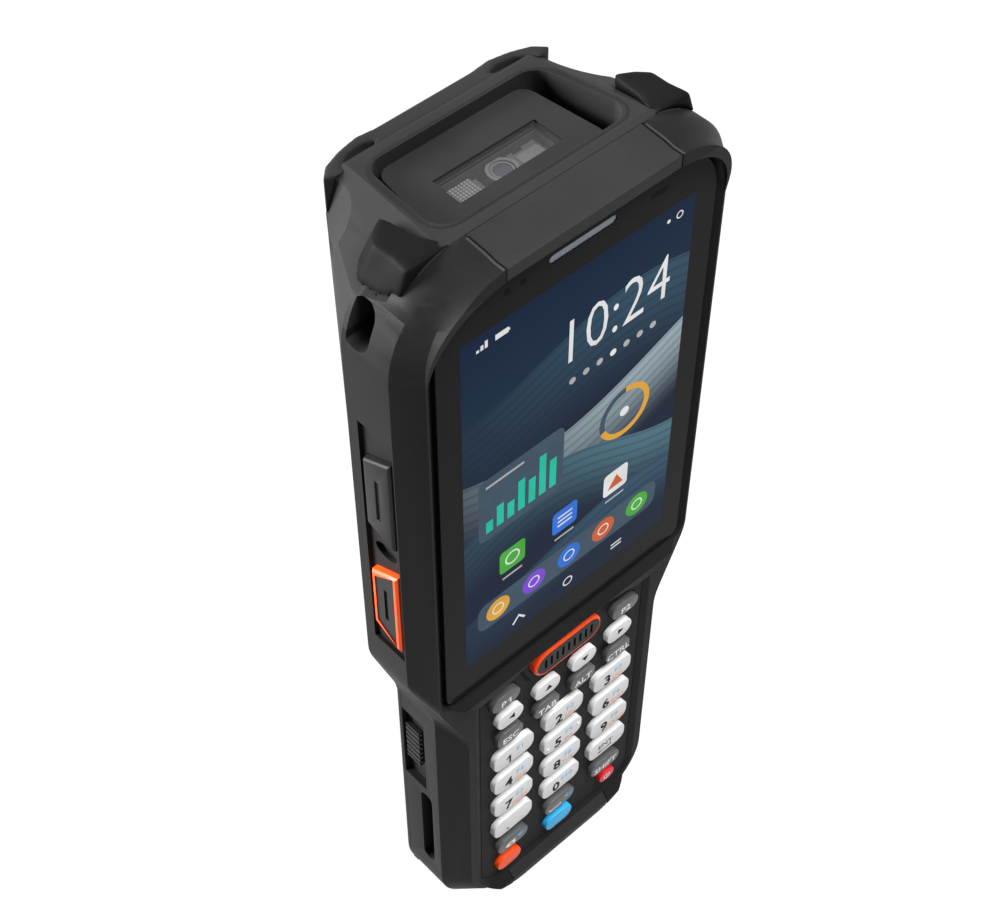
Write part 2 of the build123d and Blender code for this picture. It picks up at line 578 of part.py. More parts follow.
with BuildPart() as scan_key_insert:
    extrude(key_sketch(SCAN_KEY_TOP_Y, 0, SCAN_KEY_Z, *insert_size), amount=-SCAN_INSERT_DEPTH)
    with BuildSketch(facing(SCAN_KEY_TOP_Y)) as ribs:
        with Locations((0, SCAN_KEY_Z)):
            with GridLocations(SCAN_RIB_PITCH, 0, SCAN_RIB_COUNT, 1):
                Rectangle(SCAN_RIB_WIDTH, SCAN_RIB_LENGTH)
    extrude(amount=-SCAN_RIB_DEPTH, mode=Mode.SUBTRACT)
save(scan_key_insert.part, "scan_key_insert")

openings = [(x, z, size) for name, x, z, size in keys] + [(0, SCAN_KEY_Z, scan_size)]

# ---- Keypad panel and what lies behind it ---------------------------------------------------
panel_sketch = span(PANEL_BACK_Y, PANEL_HALF, PANEL_LOW, PANEL_TOP, PANEL_RADIUS, PANEL_RADIUS)
with BuildPart() as keypad_panel:
    extrude(panel_sketch, amount=PANEL_THICK)
    for x, z, (width, height, corner) in openings:
        extrude(
            key_sketch(
                PANEL_BACK_Y, x, z, width + 2 * KEY_GAP, height + 2 * KEY_GAP, corner + KEY_GAP
            ),
            amount=PANEL_THICK, mode=Mode.SUBTRACT,
        )
save(keypad_panel.part, "keypad_panel")

MEMBRANE_HALF = PANEL_HALF - PANEL_LEDGE - FIT
with BuildPart() as keypad_membrane:
    extrude(
        span(
            BOARD_Y, MEMBRANE_HALF, PANEL_LOW + PANEL_LEDGE + FIT, PANEL_TOP - PANEL_LEDGE - FIT,
            PANEL_RADIUS - PANEL_LEDGE, PANEL_RADIUS - PANEL_LEDGE,
        ),
        amount=MEMBRANE_THICK,
    )
    with BuildSketch(facing(MEMBRANE_Y)):
        with Locations(*[(x, z) for x, z, size in openings]):
            RegularPolygon(DOME_RADIUS, DOME_SIDES)
    extrude(amount=DOME_HEIGHT)
save(keypad_membrane.part, "keypad_membrane")

screw_places = [(x, z) for x in both(SCREW_X) for z in SCREW_Z]
chin_places = [(x, CHIN_SCREW_Z) for x in both(CHIN_SCREW_X)]
with BuildPart() as main_board:
    extrude(
        shape(
            facing(BOARD_BACK_Y),
            mirrored([
                (BOARD_GRIP_HALF, BOARD_LOW), (BOARD_GRIP_HALF, NECK_LOW + 8),
                (BOARD_HALF, NECK_TOP + 2), (BOARD_HALF, BOARD_SHOULDER_Z),
                (BOARD_TAIL_HALF, BOARD_SHOULDER_Z), (BOARD_TAIL_HALF, BOARD_TOP),
            ]),
        ),
        amount=BOARD_THICK,
    )
    for x, z in screw_places:
        rod(x, z, BOSS_RADIUS + BOSS_GAP, (BOARD_Y - 1, BOARD_BACK_Y + 1), Mode.SUBTRACT)
    for x_span, thick, z_span in BOARD_CHIPS:
        block(x_span, (BOARD_BACK_Y, BOARD_BACK_Y + thick), z_span, mode=Mode.ADD)
save(main_board.part, "main_board")

# ---- Display --------------------------------------------------------------------------------
glass_outline = span(
    GLASS_BACK_Y, GLASS_HALF, GLASS_LOW, GLASS_TOP, GLASS_LOW_RADIUS, GLASS_TOP_RADIUS
)
receiver_slot = key_sketch(
    GLASS_BACK_Y, 0, RECEIVER_Z, RECEIVER_WIDTH, RECEIVER_HEIGHT, RECEIVER_HEIGHT / 2 - ROUND_END
)
with BuildPart() as display_glass:
    extrude(glass_outline, amount=GLASS_THICK)
    extrude(receiver_slot, amount=GLASS_THICK, mode=Mode.SUBTRACT)
save(display_glass.part, "display_glass")

with BuildPart() as receiver_grille:
    extrude(receiver_slot, amount=GLASS_THICK - RECEIVER_RECESS)
save(receiver_grille.part, "receiver_grille")

with BuildPart() as display_module:
    extrude(
        span(BOARD_Y, MODULE_HALF, MODULE_LOW, MODULE_TOP, MODULE_RADIUS, MODULE_RADIUS),
        amount=MODULE_THICK,
    )
save(display_module.part, "display_module")

# ---- Bezels ---------------------------------------------------------------------------------
def seamed(region):
    """A region narrowed at both ends by the seam that shows beside its neighbours."""
    (low, high), y_span, z_span = region
    return ((low + SEAM, high - SEAM), y_span, z_span)


save(cut_from_casing(seamed(top_bezel_region)), "top_bezel")
save(cut_from_casing(seamed(bottom_bezel_region)), "bottom_bezel")

# ---- Front housing --------------------------------------------------------------------------
glass_slope = span(
    CREST_Y, GLASS_HALF + RIM_SLOPE, GLASS_LOW - RIM_SLOPE / 2, GLASS_TOP + GLASS_GAP,
    GLASS_LOW_RADIUS + RIM_SLOPE / 2, GLASS_TOP_RADIUS + RIM_SLOPE,
)
glass_seat = span(
    GLASS_BACK_Y, GLASS_HALF + GLASS_GAP, GLASS_LOW - GLASS_GAP, GLASS_TOP + GLASS_GAP,
    GLASS_LOW_RADIUS + GLASS_GAP, GLASS_TOP_RADIUS + GLASS_GAP,
)
panel_slope = span(
    CREST_Y, PANEL_HALF + PANEL_SLOPE, PANEL_LOW - PANEL_SLOPE / 2, PANEL_TOP + FIT,
    PANEL_RADIUS + PANEL_SLOPE / 2, PANEL_RADIUS,
)
panel_floor = span(
    PANEL_Y, PANEL_HALF + FIT, PANEL_LOW - FIT, PANEL_TOP + FIT, PANEL_RADIUS + FIT, PANEL_RADIUS + FIT
)
ridge_base = shape(
    facing(PANEL_Y),
    mirrored([
        (RIDGE_ARCH_HALF, RIDGE_ARCH_Z), (RIDGE_DIP_X - RIDGE_DIP_HALF, RIDGE_DIP_Z),
        (RIDGE_DIP_X + RIDGE_DIP_HALF, RIDGE_DIP_Z), (GLASS_HALF, GLASS_LOW), (GLASS_HALF, GLASS_LOW + 1),
    ]),
)
ridge_crest = shape(
    facing(LOW_RIM_Y),
    mirrored([
        (RIDGE_ARCH_HALF, RIDGE_CREST_Z - 0.1), (RIDGE_DIP_X - RIDGE_DIP_HALF, RIDGE_DIP_Z + RIDGE_LEAN),
        (RIDGE_DIP_X + RIDGE_DIP_HALF, RIDGE_DIP_Z + RIDGE_LEAN),
        (GLASS_HALF - RIDGE_DIP_HALF, RIDGE_CREST_Z - 0.1), (GLASS_HALF - RIDGE_DIP_HALF, RIDGE_CREST_Z),
    ]),
)
with BuildPart() as ridge:
    loft([ridge_base, ridge_crest], ruled=True)
    extrude(crest_outline, amount=CREST_Y - RIM_Y, both=True, mode=Mode.INTERSECT)


def cavity_outline(y, margin=0.0):
    """Outline of the room behind the front wall, widened all round by a margin."""
    return shape(
        facing(y),
        mirrored([
            (CAVITY_FOOT_HALF + margin, CAVITY_LOW - margin),
            (CAVITY_FOOT_HALF + margin, CAVITY_FOOT_Z - margin),
            (CAVITY_GRIP_HALF + margin, CAVITY_FOOT_Z - margin),
            (CAVITY_GRIP_HALF + margin, NECK_LOW), (CAVITY_HALF + margin, NECK_TOP),
            (CAVITY_HALF + margin, CAVITY_SHOULDER_Z + margin),
            (CAVITY_TAIL_HALF + margin, CAVITY_SHOULDER_Z + margin),
            (CAVITY_TAIL_HALF + margin, CAVITY_TOP + margin),
        ]),
    )


cavity = cavity_outline(PARTING_Y)
with BuildPart() as housing_seal:
    extrude(cavity_outline(PARTING_Y, SEAL_OFFSET + SEAL_WIDTH), amount=SEAL_THICK)
    extrude(cavity_outline(PARTING_Y, SEAL_OFFSET), amount=SEAL_THICK, mode=Mode.SUBTRACT)
    block(WIDE, both(TALL), (SEAL_TOP, TALL))
save(housing_seal.part, "housing_seal")


def mouth(side, points, x):
    """Outline on one side face, from (y, z) points."""
    return shape(sideways(side * x), points)


def side_key_points(size, margin=0.0):
    """Outline of a side key, its rear edge shorter than its front edge."""
    low_front, low_rear, high_rear, high_front = [SIDE_KEYS_Z + z for z in size]
    return [
        (SIDE_KEY_FRONT_Y - margin, low_front - margin), (SIDE_KEY_REAR_Y + margin, low_rear - margin),
        (SIDE_KEY_REAR_Y + margin, high_rear + margin), (SIDE_KEY_FRONT_Y - margin, high_front + margin),
    ]


with BuildPart() as front_housing:
    add(cut_from_casing((WIDE, (RIM_Y - 1, PARTING_Y), (0, TALL))))
    for region in (top_bezel_region, bottom_bezel_region, tongue_region):
        block(*region)
    # pockets for the glass and the panel, with their sloped walls
    loft([glass_seat, glass_slope], ruled=True, mode=Mode.SUBTRACT)
    extrude(glass_slope, amount=CREST_Y - RIM_Y + 1, mode=Mode.SUBTRACT)
    loft([panel_floor, panel_slope], ruled=True, mode=Mode.SUBTRACT)
    extrude(panel_floor, amount=-PANEL_THICK, mode=Mode.SUBTRACT)
    # ridge between the display and the keypad
    add(ridge.part)
    extrude(
        span(
            GLASS_BACK_Y, GLASS_HALF + GLASS_GAP, GLASS_LOW - GLASS_GAP, GLASS_LOW + RIDGE_CUT,
            GLASS_LOW_RADIUS, GLASS_LOW_RADIUS,
        ),
        amount=GLASS_BACK_Y - RIM_Y - 1, mode=Mode.SUBTRACT,
    )
    # openings behind the glass and the panel, and the room for the board
    extrude(
        span(
            GLASS_BACK_Y, MODULE_HALF + FIT, MODULE_LOW - FIT, MODULE_TOP + FIT,
            MODULE_RADIUS + FIT, MODULE_RADIUS + FIT,
        ),
        amount=-(ROOM_DEPTH + MODULE_THICK), mode=Mode.SUBTRACT,
    )
    extrude(
        span(
            PANEL_BACK_Y, PANEL_HALF - PANEL_LEDGE, PANEL_LOW + PANEL_LEDGE, PANEL_TOP - PANEL_LEDGE,
            PANEL_RADIUS - PANEL_LEDGE, PANEL_RADIUS - PANEL_LEDGE,
        ),
        amount=-(BOARD_Y - PANEL_BACK_Y), mode=Mode.SUBTRACT,
    )
    extrude(cavity, amount=ROOM_DEPTH, mode=Mode.SUBTRACT)
    add(housing_seal.part, mode=Mode.SUBTRACT)
    # screw bosses
    for x, z in screw_places:
        rod(x, z, BOSS_RADIUS, (BOARD_Y, PARTING_Y))
        rod(x, z, SCREW_RADIUS, (BOARD_Y, PARTING_Y + 1), Mode.SUBTRACT)
    for x, z in chin_places:
        rod(x, z, SCREW_RADIUS, (PARTING_Y - CHIN_SCREW_BITE, PARTING_Y), Mode.SUBTRACT)
    for side in (-1, 1):
        # recess of the side keys, with their openings and the dimple between them
        block(
            (side * (BODY_HALF - SIDE_RECESS), side * (BODY_HALF + 1)),
            (RECESS_FRONT_Y, RECESS_REAR_Y), (RECESS_LOW, RECESS_TOP),
        )
        for size in (UPPER_KEY, SCAN_SIDE_KEY):
            extrude(
                mouth(side, side_key_points(size, FIT), CAVITY_HALF - 0.5),
                amount=side * (WALL + 1), mode=Mode.SUBTRACT,
            )
        with BuildSketch(sideways(side * (BODY_HALF - SIDE_RECESS - DIMPLE_DEPTH))) as dimple:
            with Locations((DIMPLE_Y, DIMPLE_Z)):
                Ellipse(DIMPLE_SIZE[0] / 2, DIMPLE_SIZE[1] / 2)
        extrude(amount=side * (DIMPLE_DEPTH + 1), mode=Mode.SUBTRACT)
        # strap slots; the upper one reaches back to what closes the housing
        for floor, y_span, z_span in (
            (STRAP_SLOT_FLOOR_X, STRAP_SLOT_Y, STRAP_SLOT_Z), (LOW_SLOT_FLOOR_X, LOW_SLOT_Y, LOW_SLOT_Z)
        ):
            extrude(slot(side * floor, y_span, z_span), amount=side * BODY_HALF, mode=Mode.SUBTRACT)
        # latch recess, open towards the battery cover, and the slot of the latch's stem
        block(
            (side * (GRIP_HALF - LATCH_RECESS_DEPTH), side * (GRIP_HALF + 1)),
            (LATCH_RECESS_FRONT_Y, PARTING_Y), LATCH_RECESS_Z,
        )
        block(
            (side * CAVITY_FOOT_HALF, side * GRIP_HALF),
            (LATCH_Y[0] + LATCH_STEM - LATCH_GAP, LATCH_Y[1] - LATCH_STEM + LATCH_GAP),
            (LATCH_Z[0] + LATCH_STEM - LATCH_TRAVEL - LATCH_GAP, LATCH_Z[1] - LATCH_STEM + LATCH_GAP),
        )
        # bars that the strap goes round, in the upper and the lower slot
        block((side * STRAP_BAR_X[0], side * STRAP_BAR_X[1]), STRAP_BAR_Y, STRAP_SLOT_Z, mode=Mode.ADD)
        block((side * LOW_BAR_X[0], side * LOW_BAR_X[1]), LOW_BAR_Y, LOW_SLOT_Z, mode=Mode.ADD)
save(front_housing.part, "front_housing")

# ---- Side keys and latches ------------------------------------------------------------------
SIDE_TOP = BODY_HALF + SIDE_KEY_PROUD
SIDE_FLANGE_X = CAVITY_HALF - FLANGE_GAP


def side_key(side, size, insert_depth):
    """Side key, with room for an insert inside its rim where it has one, and a slit in its face."""
    face = SIDE_TOP - insert_depth
    with BuildPart() as key:
        extrude(
            mouth(side, side_key_points(size), SIDE_TOP),
            amount=-side * (SIDE_TOP - SIDE_FLANGE_X + SIDE_KEY_FLANGE_THICK),
        )
        faces = key.faces().sort_by(Axis.X)
        chamfer(faces[-1 if side > 0 else 0].edges(), KEY_CHAMFER)
        if insert_depth:
            extrude(
                mouth(side, side_key_points(size, -SIDE_RIM), face), amount=side * (insert_depth + 1),
                mode=Mode.SUBTRACT,
            )
        low_front, low_rear, high_rear, high_front = [SIDE_KEYS_Z + z for z in size]
        block(
            (side * SIDE_FLANGE_X, side * (SIDE_FLANGE_X - SIDE_KEY_FLANGE_THICK)),
            (SIDE_KEY_FRONT_Y, SIDE_KEY_REAR_Y + SIDE_KEY_FLANGE),
            (low_front - SIDE_KEY_FLANGE, high_front + SIDE_KEY_FLANGE), mode=Mode.ADD,
        )
        block(
            (side * (face - SLIT_DEPTH), side * (SIDE_TOP + 1)),
            (SLIT_Y - SLIT_WIDTH / 2, SLIT_Y + SLIT_WIDTH / 2), (low_rear + SLIT_END, high_rear - SLIT_END),
        )
    return key.part


def latch(side):
    """Ribbed latch in its recess, with a stem through the wall and a plate that keeps it there."""
    floor = GRIP_HALF - LATCH_RECESS_DEPTH + LATCH_GAP
    top = GRIP_HALF - LATCH_SUNK
    inner = CAVITY_GRIP_HALF - LATCH_GAP
    with BuildPart() as piece:
        block((side * floor, side * top), LATCH_Y, LATCH_Z, mode=Mode.ADD)
        with BuildSketch(sideways(side * top)):
            with Locations(((LATCH_Y[0] + LATCH_Y[1]) / 2, (LATCH_Z[0] + LATCH_Z[1]) / 2)):
                with GridLocations(0, (LATCH_Z[1] - LATCH_Z[0]) / LATCH_RIBS, 1, LATCH_RIBS):
                    Rectangle(LATCH_Y[1] - LATCH_Y[0], LATCH_GROOVE)
        extrude(amount=-side * LATCH_GROOVE, mode=Mode.SUBTRACT)
        block(
            (side * (inner - LATCH_PLATE), side * floor),
            (LATCH_Y[0] + LATCH_STEM, LATCH_Y[1] - LATCH_STEM),
            (LATCH_Z[0] + LATCH_STEM, LATCH_Z[1] - LATCH_STEM), mode=Mode.ADD,
        )
        block((side * (inner - LATCH_PLATE), side * inner), LATCH_Y, LATCH_Z, mode=Mode.ADD)
    return piece.part


for side, word in ((-1, "left"), (1, "right")):
    save(side_key(side, UPPER_KEY, 0), f"side_key_{word}")
    save(side_key(side, SCAN_SIDE_KEY, SIDE_INSERT_DEPTH), f"side_scan_key_{word}")
    save(latch(side), f"battery_latch_{word}")

# ---- Rear housing, battery and cover --------------------------------------------------------
# the battery bay's floor closes the housing behind the board; the cover's skirt goes round it
with BuildPart() as rear_housing:
    add(cut_from_casing(
        (WIDE, (PARTING_Y, BACK_Y + 1), (BATTERY_TOP, HEAD_COVER_LOW)),
        (WIDE, (PARTING_Y, REAR_BUMPER_Y), (BATTERY_TOP + REAR_ROOF, HEAD_COVER_LOW)),
        (WIDE, (PARTING_Y, BACK_Y + 1), (0, BATTERY_LOW)),
    ))
    block(both(BAY_FLOOR_HALF), (PARTING_Y, BAY_FLOOR_Y), (BATTERY_LOW - 1, BATTERY_TOP + 1), mode=Mode.ADD)
    # hollow behind the board and in the scan head
    block(
        both(REAR_ROOM_HALF), (PARTING_Y, BACK_Y - REAR_WALL), (SIDE_KEYS_Z, HEAD_COVER_LOW)
    )
    for places, sink in ((screw_places, SCREW_SINK_Y), (chin_places, CHIN_SINK_Y)):
        for x, z in places:
            rod(x, z, SCREW_RADIUS + FIT, (PARTING_Y - 1, BACK_Y + 1), Mode.SUBTRACT)
            rod(x, z, SCREW_HEAD_RADIUS + FIT, (sink, HEAD_BACK_Y), Mode.SUBTRACT)
    # camera and flash holes, speaker slots, battery contacts
    rod(CAMERA_X, CAMERA_Z, CAMERA_RADIUS, (PARTING_Y, HEAD_BACK_Y), Mode.SUBTRACT)
    rod(FLASH_X, CAMERA_Z, FLASH_RADIUS, (PARTING_Y, HEAD_BACK_Y), Mode.SUBTRACT)
    for i in range(SPEAKER_SLOTS):
        z = SPEAKER_Z + (i - (SPEAKER_SLOTS - 1) / 2) * SPEAKER_PITCH
        block(
            both(SPEAKER_SLOT[0] / 2), (PARTING_Y, BACK_Y + 1),
            (z - SPEAKER_SLOT[1] / 2, z + SPEAKER_SLOT[1] / 2),
        )
    for i in range(CONTACT_COUNT):
        x = (i - (CONTACT_COUNT - 1) / 2) * CONTACT_PITCH
        block(
            (x - CONTACT_WIDTH / 2, x + CONTACT_WIDTH / 2), (PARTING_Y, BAY_FLOOR_Y),
            (CONTACT_Z - CONTACT_HEIGHT / 2, CONTACT_Z + CONTACT_HEIGHT / 2),
        )
save(rear_housing.part, "rear_housing")

with BuildPart() as battery_cover:
    add(cut_from_casing((WIDE, (PARTING_Y, BACK_Y + 1), (BATTERY_LOW + SEAM, BATTERY_TOP - SEAM))))
    block(
        both(BAY_FLOOR_HALF + SEAM), (PARTING_Y, BAY_FLOOR_Y + SEAM),
        (BATTERY_LOW, BATTERY_TOP),
    )
    block(
        both(PACK_HALF + FIT), (PARTING_Y, COVER_INSIDE_Y),
        (BATTERY_LOW + COVER_WALL, BATTERY_TOP - COVER_WALL),
    )
save(battery_cover.part, "battery_cover")

with BuildPart() as battery_pack:
    block(
        both(PACK_HALF), (BAY_FLOOR_Y + SEAM, COVER_INSIDE_Y),
        (BATTERY_LOW + COVER_WALL + FIT, BATTERY_TOP - COVER_WALL - FIT), mode=Mode.ADD,
    )
save(battery_pack.part, "battery_pack")

# ---- Scan head ------------------------------------------------------------------------------
def plan(z, left, right, y_span, radius):
    """Outline seen from above, its sides given by x in front and at the rear, with round corners."""
    front, rear = y_span
    points = [(left[0], front), (right[0], front), (right[1], rear), (left[1], rear)]
    return shape(Plane.XY.offset(z), points, radius)


with BuildPart() as scan_head_cover:
    add(cut_from_casing(head_region, tongue_region))
    extrude(
        plan(
            WELL_FLOOR, [-half for half in WELL_HALF], WELL_HALF, (WELL_FRONT_Y, WELL_REAR_Y), WELL_RADIUS
        ),
        amount=TALL - WELL_FLOOR, mode=Mode.SUBTRACT,
    )
    block(
        both(HEAD_ROOM_HALF), (PARTING_Y, HEAD_ROOM_REAR_Y),
        (HEAD_COVER_LOW, WELL_FLOOR - WELL_FLOOR_THICK),
    )
    block(
        both(ENGINE_HALF + FIT), (ENGINE_Y[0] - FIT, ENGINE_Y[1] + FIT), (HEAD_COVER_LOW, WELL_FLOOR)
    )
save(scan_head_cover.part, "scan_head_cover")

pane_low = PLATEAU_TOP - WINDOW_RECESS - WINDOW_THICK
with BuildPart() as scan_window_frame:
    extrude(
        plan(WELL_FLOOR, PLATEAU_LEFT, PLATEAU_RIGHT, PLATEAU_Y, PLATEAU_RADIUS),
        amount=PLATEAU_TOP - WELL_FLOOR,
    )
    block(WINDOW_X, WINDOW_Y, (pane_low, TALL))
    block(
        (WINDOW_X[0] + WINDOW_LIP, WINDOW_X[1] - WINDOW_LIP),
        (WINDOW_Y[0] + WINDOW_LIP, WINDOW_Y[1] - WINDOW_LIP), (WELL_FLOOR, TALL),
    )
save(scan_window_frame.part, "scan_window_frame")

with BuildPart() as scan_window:
    block(WINDOW_X, WINDOW_Y, (pane_low, pane_low + WINDOW_THICK), mode=Mode.ADD)
save(scan_window.part, "scan_window")

with BuildPart() as scan_engine:
    block(both(ENGINE_HALF), ENGINE_Y, (WELL_FLOOR - ENGINE_DEPTH, WELL_FLOOR), mode=Mode.ADD)
    with BuildSketch(Plane.XY.offset(WELL_FLOOR)):
        with Locations((ENGINE_LENS_X, sum(WINDOW_Y) / 2)):
            Circle(ENGINE_LENS_RADIUS)
    extrude(amount=ENGINE_LENS_HEIGHT)
    for side in (-1, 1):
        block(
            tuple(side * x for x in ENGINE_SIDE_X), ENGINE_SIDE_Y,
            (WELL_FLOOR, WELL_FLOOR + ENGINE_SIDE_HEIGHT), mode=Mode.ADD,
        )
save(scan_engine.part, "scan_engine")

# ---- Bumpers --------------------------------------------------------------------------------
def bumper_outline(z, points, side):
    """Outline of a front bumper seen from above, its plane falling towards the rear."""
    plane = Plane(origin=(0, BUMPER_FRONT_Y, z), x_dir=(1, 0, 0), z_dir=(0, BUMPER_FALL, 1))
    return shape(plane, [(side * (TOP_BEZEL_HALF + x), y) for x, y in points])


with BuildPart() as corner_bumpers:
    for side in (-1, 1):
        loft(
            [
                bumper_outline(BUMPER_LOW, BUMPER_LOW_PLAN, side),
                bumper_outline(BUMPER_TOP, BUMPER_TOP_PLAN, side),
            ],
            ruled=True,
        )
    add(casing.part, mode=Mode.SUBTRACT)
save(corner_bumpers.part, "corner_bumpers")


def from_rear(points):
    """Points of one horn as x and y."""
    return [(HORN_X + x, REAR_BUMPER_Y - y) for x, y in points]


def above_horns(y, bar_top):
    """What lies over the bar between the horns at one depth."""
    return shape(
        facing(y),
        [
            (-BAR_HALF, bar_top), (BAR_HALF, bar_top), (HORN_RISE_X, HORN_TOP),
            (HORN_RISE_X, CASE_TOP), (-HORN_RISE_X, CASE_TOP), (-HORN_RISE_X, HORN_TOP),
        ],
    )


with BuildPart() as rear_bumper:
    extrude(
        shape(Plane.XY.offset(REAR_BUMPER_LOW), mirrored(from_rear(HORN_PLAN) + [(HORN_X - 2, HEAD_BACK_Y)])),
        amount=HORN_TOP - REAR_BUMPER_LOW,
    )
    loft(
        [above_horns(RING_REAR_Y, BAR_TOP[0]), above_horns(REAR_BUMPER_Y + 1, BAR_TOP[1])],
        ruled=True, mode=Mode.SUBTRACT,
    )
    for side in (-1, 1):
        hollow = [(side * x, y) for x, y in from_rear(HOLLOW_PLAN)]
        extrude(
            shape(Plane.XY.offset(HORN_TOP - HOLLOW_DEPTH), hollow), amount=HOLLOW_DEPTH + 1,
            mode=Mode.SUBTRACT,
        )
    extrude(
        shape(
            sideways(-BODY_HALF),
            [
                (HEAD_BACK_Y, REAR_BUMPER_LOW), (REAR_BUMPER_Y + 1, REAR_BUMPER_LOW),
                (REAR_BUMPER_Y + 1, REAR_BUMPER_LOW + REAR_BUMPER_SLOPE),
            ],
        ),
        amount=2 * BODY_HALF, mode=Mode.SUBTRACT,
    )
    add(casing.part, mode=Mode.SUBTRACT)
save(rear_bumper.part, "rear_bumper")

# ---- Screws, speaker, camera and contacts ---------------------------------------------------
with BuildPart() as housing_screws:
    for places, tip, sink in (
        (screw_places, BOARD_Y + 1, SCREW_SINK_Y),
        (chin_places, PARTING_Y - CHIN_SCREW_BITE, CHIN_SINK_Y),
    ):
        for x, z in places:
            rod(x, z, SCREW_RADIUS, (tip, sink))
            rod(x, z, SCREW_HEAD_RADIUS, (sink, sink + SCREW_HEAD))
save(housing_screws.part, "housing_screws")

with BuildPart() as speaker:
    width, height, depth = SPEAKER_SIZE
    block(
        both(width / 2), (BACK_Y - REAR_WALL - depth, BACK_Y - REAR_WALL),
        (SPEAKER_Z - height / 2, SPEAKER_Z + height / 2), mode=Mode.ADD,
    )
save(speaker.part, "speaker")

with BuildPart() as rear_camera:
    rod(CAMERA_X, CAMERA_Z, CAMERA_RADIUS, (BACK_Y - CAMERA_DEPTH, BACK_Y - CAMERA_WINDOW_THICK))
    rod(FLASH_X, CAMERA_Z, FLASH_RADIUS, (BACK_Y - FLASH_DEPTH, BACK_Y))
save(rear_camera.part, "rear_camera")

with BuildPart() as camera_window:
    rod(CAMERA_X, CAMERA_Z, CAMERA_RADIUS, (BACK_Y - CAMERA_WINDOW_THICK, BACK_Y))
save(camera_window.part, "camera_window")

with BuildPart() as battery_contacts:
    for i in range(CONTACT_COUNT):
        x = (i - (CONTACT_COUNT - 1) / 2) * CONTACT_PITCH
        block(
            (x - CONTACT_WIDTH / 2, x + CONTACT_WIDTH / 2), (PARTING_Y - CONTACT_TAIL, BAY_FLOOR_Y),
            (CONTACT_Z - CONTACT_HEIGHT / 2, CONTACT_Z + CONTACT_HEIGHT / 2), mode=Mode.ADD,
        )
save(battery_contacts.part, "battery_contacts")
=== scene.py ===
import itertools
import math
import bmesh
import bpy
from mathutils import Matrix, Vector


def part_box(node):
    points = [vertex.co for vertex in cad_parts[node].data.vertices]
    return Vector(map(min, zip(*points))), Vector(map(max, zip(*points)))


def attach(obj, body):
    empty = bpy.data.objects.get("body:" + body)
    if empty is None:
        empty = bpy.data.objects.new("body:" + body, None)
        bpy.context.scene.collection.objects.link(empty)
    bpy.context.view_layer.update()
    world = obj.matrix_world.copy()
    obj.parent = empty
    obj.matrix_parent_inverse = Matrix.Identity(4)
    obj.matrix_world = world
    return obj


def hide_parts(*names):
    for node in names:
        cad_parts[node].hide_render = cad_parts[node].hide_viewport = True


# Portable data terminal, dressed for looks. The terminal stands on its foot: X runs across it,
# -Y out of the display, Z from the foot to the scan head. Lengths are in millimetres until a
# mesh is scaled by MM.
MM = 0.001
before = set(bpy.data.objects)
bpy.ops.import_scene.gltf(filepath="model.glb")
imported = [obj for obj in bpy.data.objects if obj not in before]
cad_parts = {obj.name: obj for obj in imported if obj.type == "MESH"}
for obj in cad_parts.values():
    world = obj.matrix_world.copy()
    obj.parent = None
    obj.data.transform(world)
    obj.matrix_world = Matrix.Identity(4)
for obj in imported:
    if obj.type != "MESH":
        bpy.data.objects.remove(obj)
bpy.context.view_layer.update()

# ---- Camera
CAMERA_AT = Vector((-155.99, -165.30, 394.36)) * MM
CAMERA_FORWARD = Vector((0.4367, 0.4704, -0.7668))
CAMERA_UP = Vector((0.5203, 0.5633, 0.6418))
CAMERA_LENS = 68.69
CAMERA_SENSOR = 36.0
CAMERA_NEAR = 0.01
CAMERA_FAR = 20.0


def place_camera():
    data = bpy.data.cameras.new("camera")
    data.lens = CAMERA_LENS
    data.sensor_width = CAMERA_SENSOR
    data.clip_start = CAMERA_NEAR
    data.clip_end = CAMERA_FAR
    forward = CAMERA_FORWARD.normalized()
    right = forward.cross(CAMERA_UP).normalized()
    up = right.cross(forward)
    turn = Matrix((right, up, -forward)).transposed()
    camera = bpy.data.objects.new("camera", data)
    camera.matrix_world = Matrix.Translation(CAMERA_AT) @ turn.to_4x4()
    bpy.context.scene.collection.objects.link(camera)
    bpy.context.scene.camera = camera


place_camera()
bpy.context.scene.view_settings.view_transform = "Standard"


# ---- Shader maths
class Term:
    """A socket's value. Operators on it add the Math nodes that work them out."""

    def __init__(self, nodes, socket):
        self.nodes = nodes
        self.socket = socket

    def maths(self, operation, *values):
        return self.nodes.node("ShaderNodeMath", {"operation": operation}, dict(enumerate(values)))

    def __add__(self, other):
        return self.maths("ADD", self, other)

    def __radd__(self, other):
        return self.maths("ADD", other, self)

    def __sub__(self, other):
        return self.maths("SUBTRACT", self, other)

    def __rsub__(self, other):
        return self.maths("SUBTRACT", other, self)

    def __mul__(self, other):
        return self.maths("MULTIPLY", self, other)

    def __truediv__(self, other):
        return self.maths("DIVIDE", self, other)

    def __lt__(self, other):
        return self.maths("LESS_THAN", self, other)

    def __gt__(self, other):
        return self.maths("GREATER_THAN", self, other)

    def __abs__(self):
        return self.maths("ABSOLUTE", self)

    def wave(self):
        return self.maths("SINE", self)

    def larger(self, other):
        return self.maths("MAXIMUM", self, other)

    def ramp(self, low, high):
        """0 at low, 1 at high, smooth between them."""
        return self.nodes.node(
            "ShaderNodeMapRange", {"interpolation_type": "SMOOTHSTEP"}, {0: self, 1: low, 2: high}
        )


